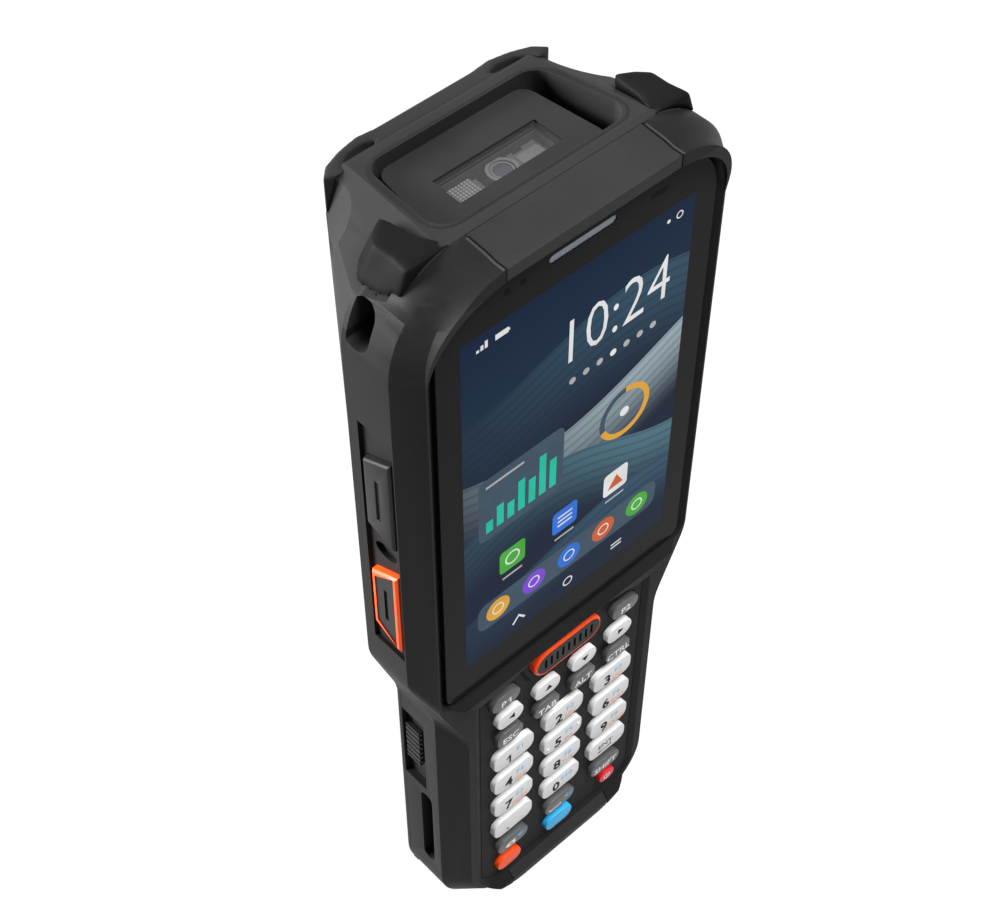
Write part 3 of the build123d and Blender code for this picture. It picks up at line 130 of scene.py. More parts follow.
class Nodes:
    """A node tree, to which each node is added by one method."""

    def __init__(self, tree):
        self.tree = tree

    def node(self, kind, settings=None, inputs=None, output=0):
        made = self.tree.nodes.new(kind)
        for name, value in (settings or {}).items():
            setattr(made, name, value)
        for name, value in (inputs or {}).items():
            self.feed(made.inputs[name], value)
        return Term(self, made.outputs[output])

    def feed(self, socket, value):
        if isinstance(value, Term):
            self.tree.links.new(value.socket, socket)
        else:
            socket.default_value = value


class Finish(Nodes):
    """A material, built round one Principled shader."""

    def __init__(self, name, **constants):
        self.material = bpy.data.materials.new(name)
        self.material.use_nodes = True
        super().__init__(self.material.node_tree)
        self.shader = self.tree.nodes["Principled BSDF"]
        for socket, value in constants.items():
            self.set(socket.replace("_", " "), value)

    def set(self, socket, value):
        self.feed(self.shader.inputs[socket], value)

    def spot(self):
        """Where a point lies on the piece, in the piece's own metres."""
        return self.node("ShaderNodeTexCoord", output="Object")

    def split(self, spot):
        """A spot's x, y and z in millimetres."""
        made = self.node("ShaderNodeSeparateXYZ", inputs={0: spot}).socket.node
        return [Term(self, made.outputs[axis]) / MM for axis in range(3)]

    def noise(self, spot, size, detail=2.0):
        """Noise whose grains are about the given size in millimetres."""
        return self.node(
            "ShaderNodeTexNoise", inputs={"Vector": spot, "Scale": 1 / (size * MM), "Detail": detail}
        )

    def blend(self, share, low, high):
        """Colour between two others."""
        return self.node("ShaderNodeMix", {"data_type": "RGBA"}, {0: share, 6: low, 7: high}, 2)

    def bump(self, height, depth):
        """Relief of the given depth in millimetres."""
        relief = self.node("ShaderNodeBump", inputs={"Height": height, "Distance": depth * MM})
        self.set("Normal", relief)


def grey(level):
    return (level, level, level, 1.0)


def shaded(colour, share):
    """A colour made paler or darker."""
    return tuple(min(1.0, part * share) for part in colour[:3]) + (1.0,)


# ---- Moulded plastics, rubbers and inks
FINE_DETAIL = 3.0  # finer noise than the usual
CLOUD_SIZE = 14.0  # soft clouds in a moulding's colour and gloss
CLOUD_SWING = 0.10  # share by which clouds change roughness
GRAIN_SWING = 0.12  # share by which grain changes roughness


def moulded(name, colour, roughness, grain=0.35, depth=0.012, specular=0.3, shift=0.12):
    """Moulded plastic or rubber: fine spark-eroded grain, slight clouds in colour and in gloss."""
    finish = Finish(name, Specular_IOR_Level=specular)
    spot = finish.spot()
    fine = finish.noise(spot, grain, FINE_DETAIL)
    clouds = finish.noise(spot, CLOUD_SIZE, FINE_DETAIL)
    deep = shaded(colour, 1 - shift)
    pale = shaded(colour, 1 + shift)
    finish.set("Base Color", finish.blend(clouds.ramp(0.3, 0.7), deep, pale))
    finish.set("Roughness", roughness + (clouds - 0.5) * CLOUD_SWING + (fine - 0.5) * GRAIN_SWING)
    finish.bump(fine, depth)
    return finish


HOUSING = moulded("satin_black_plastic", grey(0.012), 0.50, specular=0.05, shift=0.06)
HEAD = moulded("soft_black_casing", grey(0.022), 0.60, grain=0.3, specular=0.05, shift=0.06)
# Darker band round the scan well: painted shade of a slight step.
RING_SHADE = moulded("painted_ring_shade", grey(0.012), 0.60, grain=0.3, specular=0.1)
BUMPER = moulded("black_bumper_rubber", grey(0.008), 0.45, grain=0.5, specular=0.015)
BEZEL = moulded("black_bezel_plastic", grey(0.021), 0.55, specular=0.1)
PANEL = moulded("keypad_panel_plastic", grey(0.015), 0.5, specular=0.03)
WINDOW_PLATE = moulded("window_plate_plastic", grey(0.020), 0.6, specular=0.1)
DARK_KEY = moulded("black_key_rubber", grey(0.011), 0.42, specular=0.1)
WHITE_KEY = moulded("white_key_plastic", grey(0.72), 0.38, grain=0.5, depth=0.004, shift=0.015)
GREY_KEY = moulded("grey_key_plastic", grey(0.085), 0.36, grain=0.5, depth=0.005)
BRIGHT_MOULDING = {"grain": 0.5, "depth": 0.004, "specular": 0.2, "shift": 0.05}
ORANGE_KEY = moulded("orange_key_plastic", (0.90, 0.070, 0.006, 1), 0.36, **BRIGHT_MOULDING)
BLUE_KEY = moulded("blue_key_plastic", (0.030, 0.42, 0.80, 1), 0.36, **BRIGHT_MOULDING)
RED_KEY = moulded("red_key_plastic", (0.72, 0.008, 0.020, 1), 0.32, **BRIGHT_MOULDING)
WHITE_INK = moulded("white_legend_ink", grey(0.80), 0.5, shift=0.01)
DARK_INK = moulded("dark_legend_ink", grey(0.018), 0.6, specular=0.05)
BLUE_INK = moulded("blue_legend_ink", (0.10, 0.42, 0.80, 1), 0.5, shift=0.02)
ORANGE_INK = moulded("orange_legend_ink", (0.90, 0.34, 0.12, 1), 0.5, shift=0.02)
# Near black: painted shade in the side scan keys' slits, on the sensors' recesses and along the keypad
# panel's groove, partly painted shade in the seam joints by the top bezel; also the flash slot.
BLACK_AND_PAINTED_SHADE = moulded("black_and_painted_shade", grey(0.004), 0.7, specular=0.05)
BATTERY = moulded("battery_cell_plastic", grey(0.06), 0.5)
SEAL = moulded("silicone_seal", grey(0.03), 0.6)
MEMBRANE = moulded("silicone_membrane", grey(0.25), 0.5)
BOARD = moulded("circuit_board", (0.010, 0.070, 0.028, 1), 0.4, grain=1.4, depth=0.03)
ENGINE = moulded("engine_body_plastic", grey(0.07), 0.45, depth=0.003)
ENGINE_PALE = moulded("engine_optics_plastic", grey(0.13), 0.4, depth=0.003)
LENS_GLASS = moulded("engine_lens_glass", (0.03, 0.036, 0.05, 1), 0.2, specular=0.4)
LED_PALE = moulded("engine_lamp_cover", grey(0.26), 0.3, depth=0.003)
# Paler plastic: on the strap bars it is painted light; it also colours the rims round the rear camera
# and its lamp.
PALE_TRIM_AND_PAINTED_LIGHT = moulded("pale_trim_and_painted_light", grey(0.10), 0.4)
# Paler strip on the housing's edge beside the top bezel: a painted highlight.
SEAM_HIGHLIGHT = moulded("painted_seam_highlight", grey(0.040), 0.5, specular=0.1)

# ---- Metals
SCRATCH_SIZE = 0.6
SCRATCH_DETAIL = 4.0
SCRATCH_DEPTH = 0.004
SCRATCH_SWING = 0.2  # share by which scratches change roughness


def metal(name, colour, roughness):
    finish = Finish(name, Metallic=1.0)
    scratches = finish.noise(finish.spot(), SCRATCH_SIZE, SCRATCH_DETAIL)
    finish.set("Base Color", colour)
    finish.set("Roughness", roughness + (scratches - 0.5) * SCRATCH_SWING)
    finish.bump(scratches, SCRATCH_DEPTH)
    return finish


STEEL = metal("black_oxide_steel", grey(0.06), 0.4)
GOLD = metal("gold_plated_contact", (0.80, 0.55, 0.22, 1), 0.3)

# ---- Display
SCREEN_HALF = 25.92  # half width of the lit area
SCREEN_LOW = 97.8
SCREEN_HIGH = 184.2
NIGHT = (0.004, 0.015, 0.043, 1)  # the wallpaper's top
DUSK = (0.020, 0.050, 0.085, 1)  # its foot, between waves
DEEP = (0.005, 0.013, 0.034, 1)  # a wave's dark end
WAVES = (  # crest as a share of the screen's height, swing, length, start, glow's colour, glow's depth
    (0.82, 0.05, 13.0, 0.6, (0.030, 0.075, 0.120, 1), 0.30),
    (0.64, 0.08, 17.0, -1.2, (0.300, 0.380, 0.420, 1), 0.24),
    (0.42, 0.07, 12.0, 2.2, (0.070, 0.160, 0.210, 1), 0.22),
    (0.20, 0.05, 15.0, 0.4, (0.030, 0.080, 0.130, 1), 0.18),
)
LINE_RATE = 240  # fine lines that follow each crest
LINE_SHARE = 0.3
GLOW_LEFT = -34  # a wave's glow grows from here
GLOW_RIGHT = 20  # to here
GLOW_LEAST = 0.2
BORDER_CLOUDS = 9.0
BORDER_DARK = grey(0.010)
BORDER_PALE = grey(0.013)
BLACK = grey(0.0)
PATCH_CLOUDS = 6.0
PATCH_DIM = 0.85
GLASS_ROUGHNESS = 0.10
SMEAR_SIZE = 3.0
SMEAR_SWING = 0.06
RIPPLE_SIZE = 25.0
RIPPLE_DEPTH = 0.01


def glazed(finish, spot):
    """Smooth cover glass, very slightly uneven."""
    finish.set("Roughness", GLASS_ROUGHNESS + finish.noise(spot, SMEAR_SIZE) * SMEAR_SWING)
    finish.bump(finish.noise(spot, RIPPLE_SIZE), RIPPLE_DEPTH)


def lit_screen():
    """Black printed border round a lit wallpaper of soft waves."""
    finish = Finish("display_glass_and_screen", Specular_IOR_Level=0.02, Emission_Strength=1.0)
    spot = finish.spot()
    x, _, z = finish.split(spot)
    inside = (abs(x) < SCREEN_HALF) * (z > SCREEN_LOW) * (z < SCREEN_HIGH)
    rise = (z - SCREEN_LOW) / (SCREEN_HIGH - SCREEN_LOW)
    sky = finish.blend(rise, DUSK, NIGHT)
    for crest, swing, length, start, glow, depth in WAVES:
        drop = crest + (x / length + start).wave() * swing - rise
        lines = (drop * LINE_RATE).wave().ramp(0.2, 1.0) * LINE_SHARE
        across = x.ramp(GLOW_LEFT, GLOW_RIGHT) * (1 - GLOW_LEAST) + GLOW_LEAST
        near = (1 - drop.ramp(0.0, depth)) * across
        sky = finish.blend(drop > 0, sky, finish.blend(near * (1 - lines), DEEP, glow))
    border = finish.blend(finish.noise(spot, BORDER_CLOUDS), BORDER_DARK, BORDER_PALE)
    finish.set("Base Color", finish.blend(inside, border, BLACK))
    finish.set("Emission Color", finish.blend(inside, BLACK, sky))
    glazed(finish, spot)
    return finish


def lit(name, colour):
    """A patch of colour that the display shows."""
    finish = Finish(name, Specular_IOR_Level=0.03, Base_Color=BLACK, Emission_Strength=1.0)
    spot = finish.spot()
    patches = finish.noise(spot, PATCH_CLOUDS).ramp(0.2, 0.8)
    finish.set("Emission Color", finish.blend(patches, shaded(colour, PATCH_DIM), colour))
    glazed(finish, spot)
    return finish


SCREEN = lit_screen()
LIT_WHITE = lit("display_white", grey(0.78))
LIT_PALE = lit("display_pale_grey", grey(0.42))
LIT_SLATE = lit("display_slate", (0.045, 0.080, 0.120, 1))
LIT_BLUE = lit("display_blue", (0.022, 0.165, 0.680, 1))
LIT_GREEN = lit("display_green", (0.060, 0.400, 0.040, 1))
LIT_AMBER = lit("display_amber", (0.740, 0.370, 0.035, 1))
LIT_TEAL = lit("display_teal", (0.010, 0.520, 0.350, 1))
LIT_VIOLET = lit("display_violet", (0.200, 0.060, 0.640, 1))
LIT_RUST = lit("display_rust", (0.600, 0.110, 0.025, 1))

# ---- Clear panes and the receiver's mesh
HAZE_SIZE = 5.0
HAZE_ALPHA = 0.03  # share by which haze changes how clear a pane is
HAZE_SWING = 0.04  # share by which it changes roughness
HAZE_DEPTH = 0.004


def clear_pane(name, colour, alpha, roughness, specular):
    finish = Finish(name, Specular_IOR_Level=specular, Base_Color=colour)
    haze = finish.noise(finish.spot(), HAZE_SIZE, FINE_DETAIL)
    finish.set("Alpha", alpha + (haze - 0.5) * HAZE_ALPHA)
    finish.set("Roughness", roughness + (haze - 0.5) * HAZE_SWING)
    finish.bump(haze, HAZE_DEPTH)
    return finish


PANE = clear_pane("scan_window_pane", grey(0.16), 0.13, 0.12, 0.1)
CAMERA_PANE = clear_pane("camera_window_glass", grey(0.008), 0.45, 0.08, 0.4)
WEAVE_RATE = 18
WEAVE_DEPTH = 0.05
WEAVE_SWING = 0.1  # share by which the weave changes roughness
MESH_DARK = (0.187, 0.209, 0.242, 1)
MESH_PALE = (0.4048, 0.4462, 0.506, 1)
MESH_ROUGHNESS = 0.45


def mesh_grille():
    finish = Finish("receiver_mesh", Metallic=0.3, Specular_IOR_Level=0.3)
    x, _, z = finish.split(finish.spot())
    weave = ((x * WEAVE_RATE).wave() * (z * WEAVE_RATE).wave()).ramp(-0.4, 0.6)
    finish.set("Base Color", finish.blend(weave, MESH_DARK, MESH_PALE))
    finish.set("Roughness", MESH_ROUGHNESS + weave * WEAVE_SWING)
    finish.bump(weave, WEAVE_DEPTH)
    return finish


GRILLE = mesh_grille()

# ---- Pieces
PLAIN_SHARP = 35.0  # degrees past which an edge stays sharp
SOFT_SHARP = 80.0
EDGE_ANGLE = 30.0  # degrees past which an edge is rounded
FLAT_ANGLE = 1.0  # degrees within which triangles are one face
NEAR_MM = 1e-4  # corners this close are one, before a mesh is scaled
NEAR_METRES = 1e-6  # and after it
CORNER_STEPS = 5
CROWN_STEPS = 3
BOX_STEPS = 4


def link_piece(mesh, name, finish, body, replaces=(), sharp=PLAIN_SHARP):
    """A finished mesh as a piece that rides on a body."""
    for face in mesh.polygons:
        face.use_smooth = True
    mesh.set_sharp_from_angle(angle=math.radians(sharp))
    mesh.materials.clear()
    mesh.materials.append(finish.material)
    piece = bpy.data.objects.new(name, mesh)
    bpy.context.scene.collection.objects.link(piece)
    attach(piece, body)
    if replaces:
        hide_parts(*replaces)
    return piece


def piece_from(shape, name, finish, body, slot, replaces=()):
    """A bmesh, in millimetres, as a piece."""
    bmesh.ops.remove_doubles(shape, verts=shape.verts, dist=NEAR_MM)
    bmesh.ops.recalc_face_normals(shape, faces=shape.faces)
    bmesh.ops.scale(shape, vec=(MM, MM, MM), verts=shape.verts)
    mesh = bpy.data.meshes.new(name)
    shape.to_mesh(mesh)
    shape.free()
    link_piece(mesh, name, finish, body, replaces)


def merged_copy(node):
    """A CAD node's shape with its loose triangles merged into whole faces."""
    shape = bmesh.new()
    shape.from_mesh(bpy.data.objects[node].data)
    bmesh.ops.remove_doubles(shape, verts=shape.verts, dist=NEAR_METRES)
    bmesh.ops.dissolve_limit(
        shape, angle_limit=math.radians(FLAT_ANGLE), verts=shape.verts, edges=shape.edges
    )
    mesh = bpy.data.meshes.new(node + "_finished")
    shape.to_mesh(mesh)
    shape.free()
    return mesh


def softened(node, finish, body, slot, width, segments=3):
    """A CAD node's shape with its edges rounded."""
    mesh = merged_copy(node)
    piece = link_piece(mesh, node + "_finished", finish, body, (node,), EDGE_ANGLE)
    bevel = piece.modifiers.new("rounded_edges", "BEVEL")
    bevel.width = width * MM
    bevel.segments = segments
    bevel.limit_method = "ANGLE"
    bevel.angle_limit = math.radians(EDGE_ANGLE)
    bevel.harden_normals = True
    bevel.use_clamp_overlap = True


def melted(node, finish, body, grain, rounds, swell):
    """A CAD node's shape as soft rubber: cut into small facets, smoothed and swollen back."""
    holder = bpy.data.objects.new(node + "_blank", merged_copy(node))
    bpy.context.scene.collection.objects.link(holder)
    remesh = holder.modifiers.new("facets", "REMESH")
    remesh.mode = "VOXEL"
    remesh.voxel_size = grain * MM
    smooth = holder.modifiers.new("rounding", "SMOOTH")
    smooth.factor = 0.5
    smooth.iterations = rounds
    swollen = holder.modifiers.new("swelling", "DISPLACE")
    swollen.mid_level = 0.0
    swollen.strength = swell * MM
    bpy.context.view_layer.update()
    mesh = bpy.data.meshes.new_from_object(
        holder.evaluated_get(bpy.context.evaluated_depsgraph_get())
    )
    bpy.data.objects.remove(holder)
    link_piece(mesh, node + "_finished", finish, body, (node,), SOFT_SHARP)


def cushion(centre, size, corner, crown):
    """Rounded slab facing -Y: its four upright corners and its front edges are bevelled."""
    depth = size[1]
    shape = bmesh.new()
    bmesh.ops.create_cube(shape, size=1.0)
    bmesh.ops.scale(shape, vec=size, verts=shape.verts)
    bmesh.ops.translate(shape, vec=centre, verts=shape.verts)
    corners = [
        edge for edge in shape.edges
        if abs(edge.verts[0].co.y - edge.verts[1].co.y) > depth / 2
    ]
    bmesh.ops.bevel(
        shape, geom=corners, offset=corner, segments=CORNER_STEPS, profile=0.5, affect="EDGES",
        material=-1,
    )
    front = centre[1] - depth / 2
    rim = [
        edge for edge in shape.edges if all(abs(end.co.y - front) < NEAR_MM for end in edge.verts)
    ]
    bmesh.ops.bevel(
        shape, geom=rim, offset=crown, segments=CROWN_STEPS, profile=0.5, affect="EDGES", material=-1
    )
    return shape


def boxed(centre, size, corner):
    """A box with all its edges rounded."""
    shape = bmesh.new()
    bmesh.ops.create_cube(shape, size=1.0)
    bmesh.ops.scale(shape, vec=size, verts=shape.verts)
    bmesh.ops.bevel(
        shape, geom=shape.edges[:], offset=corner, segments=BOX_STEPS, profile=0.5, affect="EDGES",
        material=-1,
    )
    bmesh.ops.translate(shape, vec=centre, verts=shape.verts)
    return shape


# ---- Flat figures: drawn in their own plane, then turned to face a side of the terminal
PROUD = 0.02  # a printed figure stands this far out of what carries it
UPRIGHT = Matrix.Rotation(math.radians(90), 4, "X")
RING_FALL = 0.0907  # the head's ring falls this much per millimetre towards the rear
FACING = {
    "front": UPRIGHT,
    "top": Matrix.Identity(4),
    "ring": Matrix(((1, 0, 0, 0), (0, 1, 0, 0), (0, -RING_FALL, 1, 0), (0, 0, 0, 1))),
    "left": Matrix.Rotation(math.radians(-90), 4, "Z") @ UPRIGHT,
    "right": Matrix.Rotation(math.radians(90), 4, "Z") @ UPRIGHT,
    "back": Matrix.Rotation(math.radians(180), 4, "Z") @ UPRIGHT,
}
SIDES = (("left", -1), ("right", 1))  # a side's name and the sign of its x
OUTLINE_STEPS = 4
CIRCLE_STEPS = 40
ARC_STEPS = 36
LETTER_STEPS = 3


def block(left, right, low, high):
    return [(left, low), (right, low), (right, high), (left, high)]


def polygons(*outlines, corner=0.0):
    """Flat faces by their corners, which are rounded where a radius is given."""
    shape = bmesh.new()
    for outline in outlines:
        shape.faces.new([shape.verts.new((u, v, 0)) for u, v in outline])
    if corner:
        bmesh.ops.bevel(
            shape, geom=shape.verts[:], offset=corner, segments=OUTLINE_STEPS, profile=0.5,
            affect="VERTICES", material=-1,
        )
    return shape


def rounded(outline, corner):
    """An outline with its corners rounded."""
    shape = polygons(outline, corner=corner)
    shape.faces.ensure_lookup_table()
    points = [tuple(end.co.xy) for end in shape.faces[0].verts]
    shape.free()
    return points


def band(outer, inner):
    """Flat faces between two outlines of as many corners."""
    shape = bmesh.new()
    rings = [[shape.verts.new((u, v, 0)) for u, v in outline] for outline in (outer, inner)]
    edges = [
        shape.edges.new((loop[step - 1], loop[step])) for loop in rings for step in range(len(loop))
    ]
    bmesh.ops.bridge_loops(shape, edges=edges)
    return shape


def disc(radius):
    shape = bmesh.new()
    bmesh.ops.create_circle(shape, cap_ends=True, segments=CIRCLE_STEPS, radius=radius)
    return shape


def ring(radius, width, sweep=360.0, start=0.0):
    """Flat ring or arc about its plane's centre."""
    shape = bmesh.new()
    turn = Matrix.Rotation(math.radians(start), 3, "Z")
    ends = [shape.verts.new(turn @ Vector((radius + step * width / 2, 0, 0))) for step in (-1, 1)]
    line = shape.edges.new(ends)
    bmesh.ops.spin(
        shape, geom=[*ends, line], cent=(0, 0, 0), axis=(0, 0, 1), angle=math.radians(sweep),
        steps=ARC_STEPS, use_merge=sweep >= 360,
    )
    return shape


def lay(shape, spot, name, finish, body, slot, facing="front", height=PROUD, sunk=PROUD):
    """Thicken a flat shape, turn it to face its side and put it in place."""
    grown = bmesh.ops.extrude_face_region(shape, geom=shape.faces[:])
    moved = [part for part in grown["geom"] if isinstance(part, bmesh.types.BMVert)]
    bmesh.ops.translate(shape, vec=(0, 0, height + sunk), verts=moved)
    bmesh.ops.translate(shape, vec=(0, 0, -sunk), verts=shape.verts)
    bmesh.ops.transform(shape, matrix=Matrix.Translation(spot) @ FACING[facing], verts=shape.verts)
    piece_from(shape, name, finish, body, slot)


def lettering(text, size, spot, name, finish, body, weight=0.0, stretch=1.0):
    """Flat letters facing -Y, thicker or thinner in stroke by their weight."""
    curve = bpy.data.curves.new(name, "FONT")
    curve.body = text
    curve.size = size * MM
    curve.align_x = "CENTER"
    curve.align_y = "CENTER"
    curve.extrude = PROUD * MM
    curve.resolution_u = LETTER_STEPS
    curve.offset = weight * MM
    holder = bpy.data.objects.new(name + "_line", curve)
    bpy.context.scene.collection.objects.link(holder)
    bpy.context.view_layer.update()
    mesh = bpy.data.meshes.new_from_object(holder)
    bpy.data.objects.remove(holder)
    mesh.transform(
        Matrix.Translation(Vector(spot) * MM) @ UPRIGHT @ Matrix.Diagonal((stretch, 1, 1, 1))
    )
    mesh.name = name
    link_piece(mesh, name, finish, body)


# ---- Keys
FLANGE = 0.6  # a key's hidden flange is wider than its cap by this much
CAP_DEPTH = 3.2
CROWN = 0.16
STRAIGHT = 0.05  # least straight run left between two rounded corners
KEY_CORNERS = {"white": 2.15, "grey": 2.05, "orange": 2.05, "blue": 2.15, "red": 1.75}
KEY_FINISH = {
    "white": WHITE_KEY, "grey": GREY_KEY, "orange": ORANGE_KEY, "blue": BLUE_KEY, "red": RED_KEY,
}
DIGITS = [str(digit) for digit in range(10)]
KEY_COLOUR = {"orange": "orange", "blue": "blue", "power": "red"}
KEY_COLOUR.update({word: "white" for word in ("left", "up", "down", "right", "dot", "enter", *DIGITS)})
KEY_COLOUR.update({
    word: "grey" for word in ("p1", "p2", "esc", "tab", "alt", "ctrl", "backspace", "space", "shift")
})


def key_place(word):
    """A key's node, the middle of its face, and the width and height of its cap."""
    node = "key_" + word
    low, high = [Vector(corner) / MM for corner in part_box(node)]
    middle = Vector(((low.x + high.x) / 2, low.y, (low.z + high.z) / 2))
    return node, middle, high.x - low.x - 2 * FLANGE, high.z - low.z - 2 * FLANGE


def mark(word, shape, shift, name, finish, slot="white_key"):
    """A flat figure on a key, shifted from the middle of its face."""
    node, face, _, _ = key_place(word)
    lay(shape, face + Vector(shift), name, finish, node, slot)


def write(word, text, size, shift, name, finish, weight=0.0, stretch=1.0):
    """Letters on a key, shifted from the middle of its face."""
    node, face, _, _ = key_place(word)
    lettering(text, size, face + Vector(shift), name, finish, node, weight, stretch)


for word, colour in KEY_COLOUR.items():
    node, face, width, height = key_place(word)
    middle = face + Vector((0, CAP_DEPTH / 2, 0))
    corner = min(KEY_CORNERS[colour], height / 2 - STRAIGHT)
    cap = cushion(middle, (width, CAP_DEPTH, height), corner, CROWN)
    piece_from(cap, node + "_cap", KEY_FINISH[colour], node, colour + "_key", (node,))

# ---- Legends: sizes and shifts in x, y and z
LETTER_GROUPS = {
    "2": "ABC", "3": "DEF", "4": "GHI", "5": "JKL", "6": "MNO", "7": "PQRS", "8": "TUV", "9": "WXYZ",
}
ONE = [(0.0, -1.35), (0.5, -1.35), (0.5, 1.4), (0.05, 1.4), (-0.75, 0.75), (-0.75, 0.25), (0.0, 0.75)]
SMALL_ONE = [(0.65 * u, 0.65 * v) for u, v in ONE]
DIGIT_SIZE = 4.2
DIGIT_WEIGHT = 0.13
DIGIT_AT = (-1.45, 0, -1.05)
UPPER_SIZE = 2.3
UPPER_AT = (1.7, 0, 0.5)
GROUP_SIZE = 1.9
GROUP_AT = (1.75, 0, -1.95)
for word in DIGITS:
    stem = "key_" + word
    if word == "1":
        mark(word, polygons(ONE), DIGIT_AT, stem + "_digit", DARK_INK)
    else:
        write(word, word, DIGIT_SIZE, DIGIT_AT, stem + "_digit", DARK_INK, weight=DIGIT_WEIGHT)
    number = "F10" if word == "0" else "F" + word
    write(word, number, UPPER_SIZE, UPPER_AT, stem + "_upper", BLUE_INK)
    if word in LETTER_GROUPS:
        group = LETTER_GROUPS[word]
        write(word, group, GROUP_SIZE, GROUP_AT, stem + "_letters", ORANGE_INK)

WORD_SIZE = 2.5
WORD_AT = (0.1, 0, -0.75)
P_AT = (-0.75, 0, -0.75)
P_ONE_AT = (0.95, 0, -0.75)
for word in ("p1", "p2", "esc", "tab", "alt", "ctrl", "shift"):
    letters, spot = ("P", P_AT) if word == "p1" else (word.upper(), WORD_AT)
    name = "key_" + word + "_legend"
    write(word, letters, WORD_SIZE, spot, name, WHITE_INK, weight=0.03, stretch=1.1)
mark("p1", polygons(SMALL_ONE), P_ONE_AT, "key_p1_one", WHITE_INK)

ARROWS = {
    "left": [(-0.85, 0), (0.75, -0.85), (0.75, 0.85)],
    "right": [(0.85, 0), (-0.75, 0.85), (-0.75, -0.85)],
    "up": [(0, 0.8), (-0.95, -0.7), (0.95, -0.7)],
    "down": [(0, -0.8), (0.95, 0.7), (-0.95, 0.7)],
}
ARROW_AT = (0.3, 0, 0.1)
for word, outline in ARROWS.items():
    mark(word, polygons(outline), ARROW_AT, "key_" + word + "_arrow", DARK_INK)

ENTER_ARROW = (
    block(-1.2, 2.2, -1.75, -1.5), block(1.95, 2.2, -1.5, -0.9),
    [(-2.0, -1.62), (-1.1, -2.02), (-1.1, -1.22)],
)
write("enter", "ENT", 1.9, (-0.5, 0, 0.2), "enter_legend", DARK_INK, weight=0.02, stretch=1.25)
mark("enter", polygons(*ENTER_ARROW), (-0.9, 0, 0), "enter_arrow", DARK_INK)
mark("dot", disc(0.32), (-1.7, 0, -1.85), "dot_point", DARK_INK)

SPACE_LINE = (block(-3.2, 0.3, -1.4, -1.1), block(-3.2, -2.9, -1.1, -0.7), block(0.0, 0.3, -1.1, -0.7))
BACKSPACE_TAG = [(-2.4, -0.8), (-1.3, -1.6), (0.6, -1.6), (0.6, 0.0), (-1.3, 0.0)]
CROSS_AT = (-0.6, -PROUD, -0.65)
mark("space", polygons(*SPACE_LINE), (0, 0, 0), "space_line", WHITE_INK)
mark("backspace", polygons(BACKSPACE_TAG), (0, 0, 0), "backspace_tag", WHITE_INK)
write("backspace", "x", 2.0, CROSS_AT, "backspace_cross", GREY_KEY, 0.06)

SOUND = [(-0.6, -0.3), (-0.2, -0.3), (0.4, -0.8), (0.4, 0.8), (-0.2, 0.3), (-0.6, 0.3)]
SOUND_AT = (2.0, 0, 0.25)
for word, waves in (("space", 2), ("backspace", 1)):
    mark(word, polygons(SOUND), SOUND_AT, word + "_sound", BLUE_INK, "blue_key")
    for count in range(waves):
        arc = ring(0.9 + 0.55 * count, 0.2, 80.0, -40.0)
        mark(word, arc, SOUND_AT, word + f"_sound_wave_{count + 1}", BLUE_INK, "blue_key")

POWER_AT = (0, 0, -0.3)
mark("power", ring(0.85, 0.28, 290.0, 125.0), POWER_AT, "power_ring", WHITE_INK)
mark("power", polygons(block(-0.14, 0.14, 0.0, 1.05)), POWER_AT, "power_bar", WHITE_INK)

NUB_RADIUS = 0.42
NUB_SINK = 0.1
node, face, _, _ = key_place("5")
for word, side in SIDES:
    nub = bmesh.new()
    bmesh.ops.create_uvsphere(nub, u_segments=16, v_segments=10, radius=NUB_RADIUS)
    spot = face + Vector((side * 4.4, NUB_SINK, side * 0.5 - 0.2))
    bmesh.ops.translate(nub, vec=spot, verts=nub.verts)
    piece_from(nub, "key_5_nub_" + word, WHITE_KEY, node, "white_key")

# ---- Housings, bezels, keys of other shapes
ROUNDED = (  # node, finish, body, slot, width of the rounded edges, and steps round them if not 3
    ("front_housing", HOUSING, "root", "housing", 0.45),
    ("rear_housing", HOUSING, "root", "housing", 0.6),
    ("battery_cover", HOUSING, "battery", "housing", 0.5),
    ("scan_head_cover", HEAD, "root", "soft_casing", 0.35),
    ("top_bezel", BEZEL, "root", "bezel", 0.3),
    ("bottom_bezel", BEZEL, "root", "bezel", 0.3),
    ("keypad_panel", PANEL, "root", "keypad_panel", 0.12, 2),
    ("display_glass", SCREEN, "root", "display_glass", 0.2),
    ("scan_window_frame", WINDOW_PLATE, "root", "window_frame", 0.15),
    ("key_scan", ORANGE_KEY, "key_scan", "orange_key", 0.2),
    ("scan_key_insert", DARK_KEY, "key_scan", "dark_key", 0.1, 2),
)
RUBBER_FACET = 0.25
for row in ROUNDED:
    softened(*row)
for side, _ in SIDES:
    softened("side_key_" + side, DARK_KEY, "side_key_" + side, "dark_key", 0.35)
    softened("side_scan_key_" + side, ORANGE_KEY, "side_scan_key_" + side, "orange_key", 0.2)
    softened("battery_latch_" + side, DARK_KEY, "battery_latch_" + side, "dark_key", 0.15)
melted("corner_bumpers", BUMPER, "root", RUBBER_FACET, 60, 0.18)
melted("rear_bumper", HEAD, "root", RUBBER_FACET, 34, 0.0)

CAD_FINISH = {
    "display_module": BOARD, "receiver_grille": GRILLE, "scan_window": PANE,
    "scan_engine": ENGINE, "main_board": BOARD, "keypad_membrane": MEMBRANE, "speaker": ENGINE,
    "rear_camera": ENGINE, "camera_window": CAMERA_PANE, "housing_screws": STEEL,
    "housing_seal": SEAL, "battery_contacts": GOLD, "battery_pack": BATTERY,
}
for node, finish in CAD_FINISH.items():
    bpy.data.objects[node].material_slots[0].material = finish.material
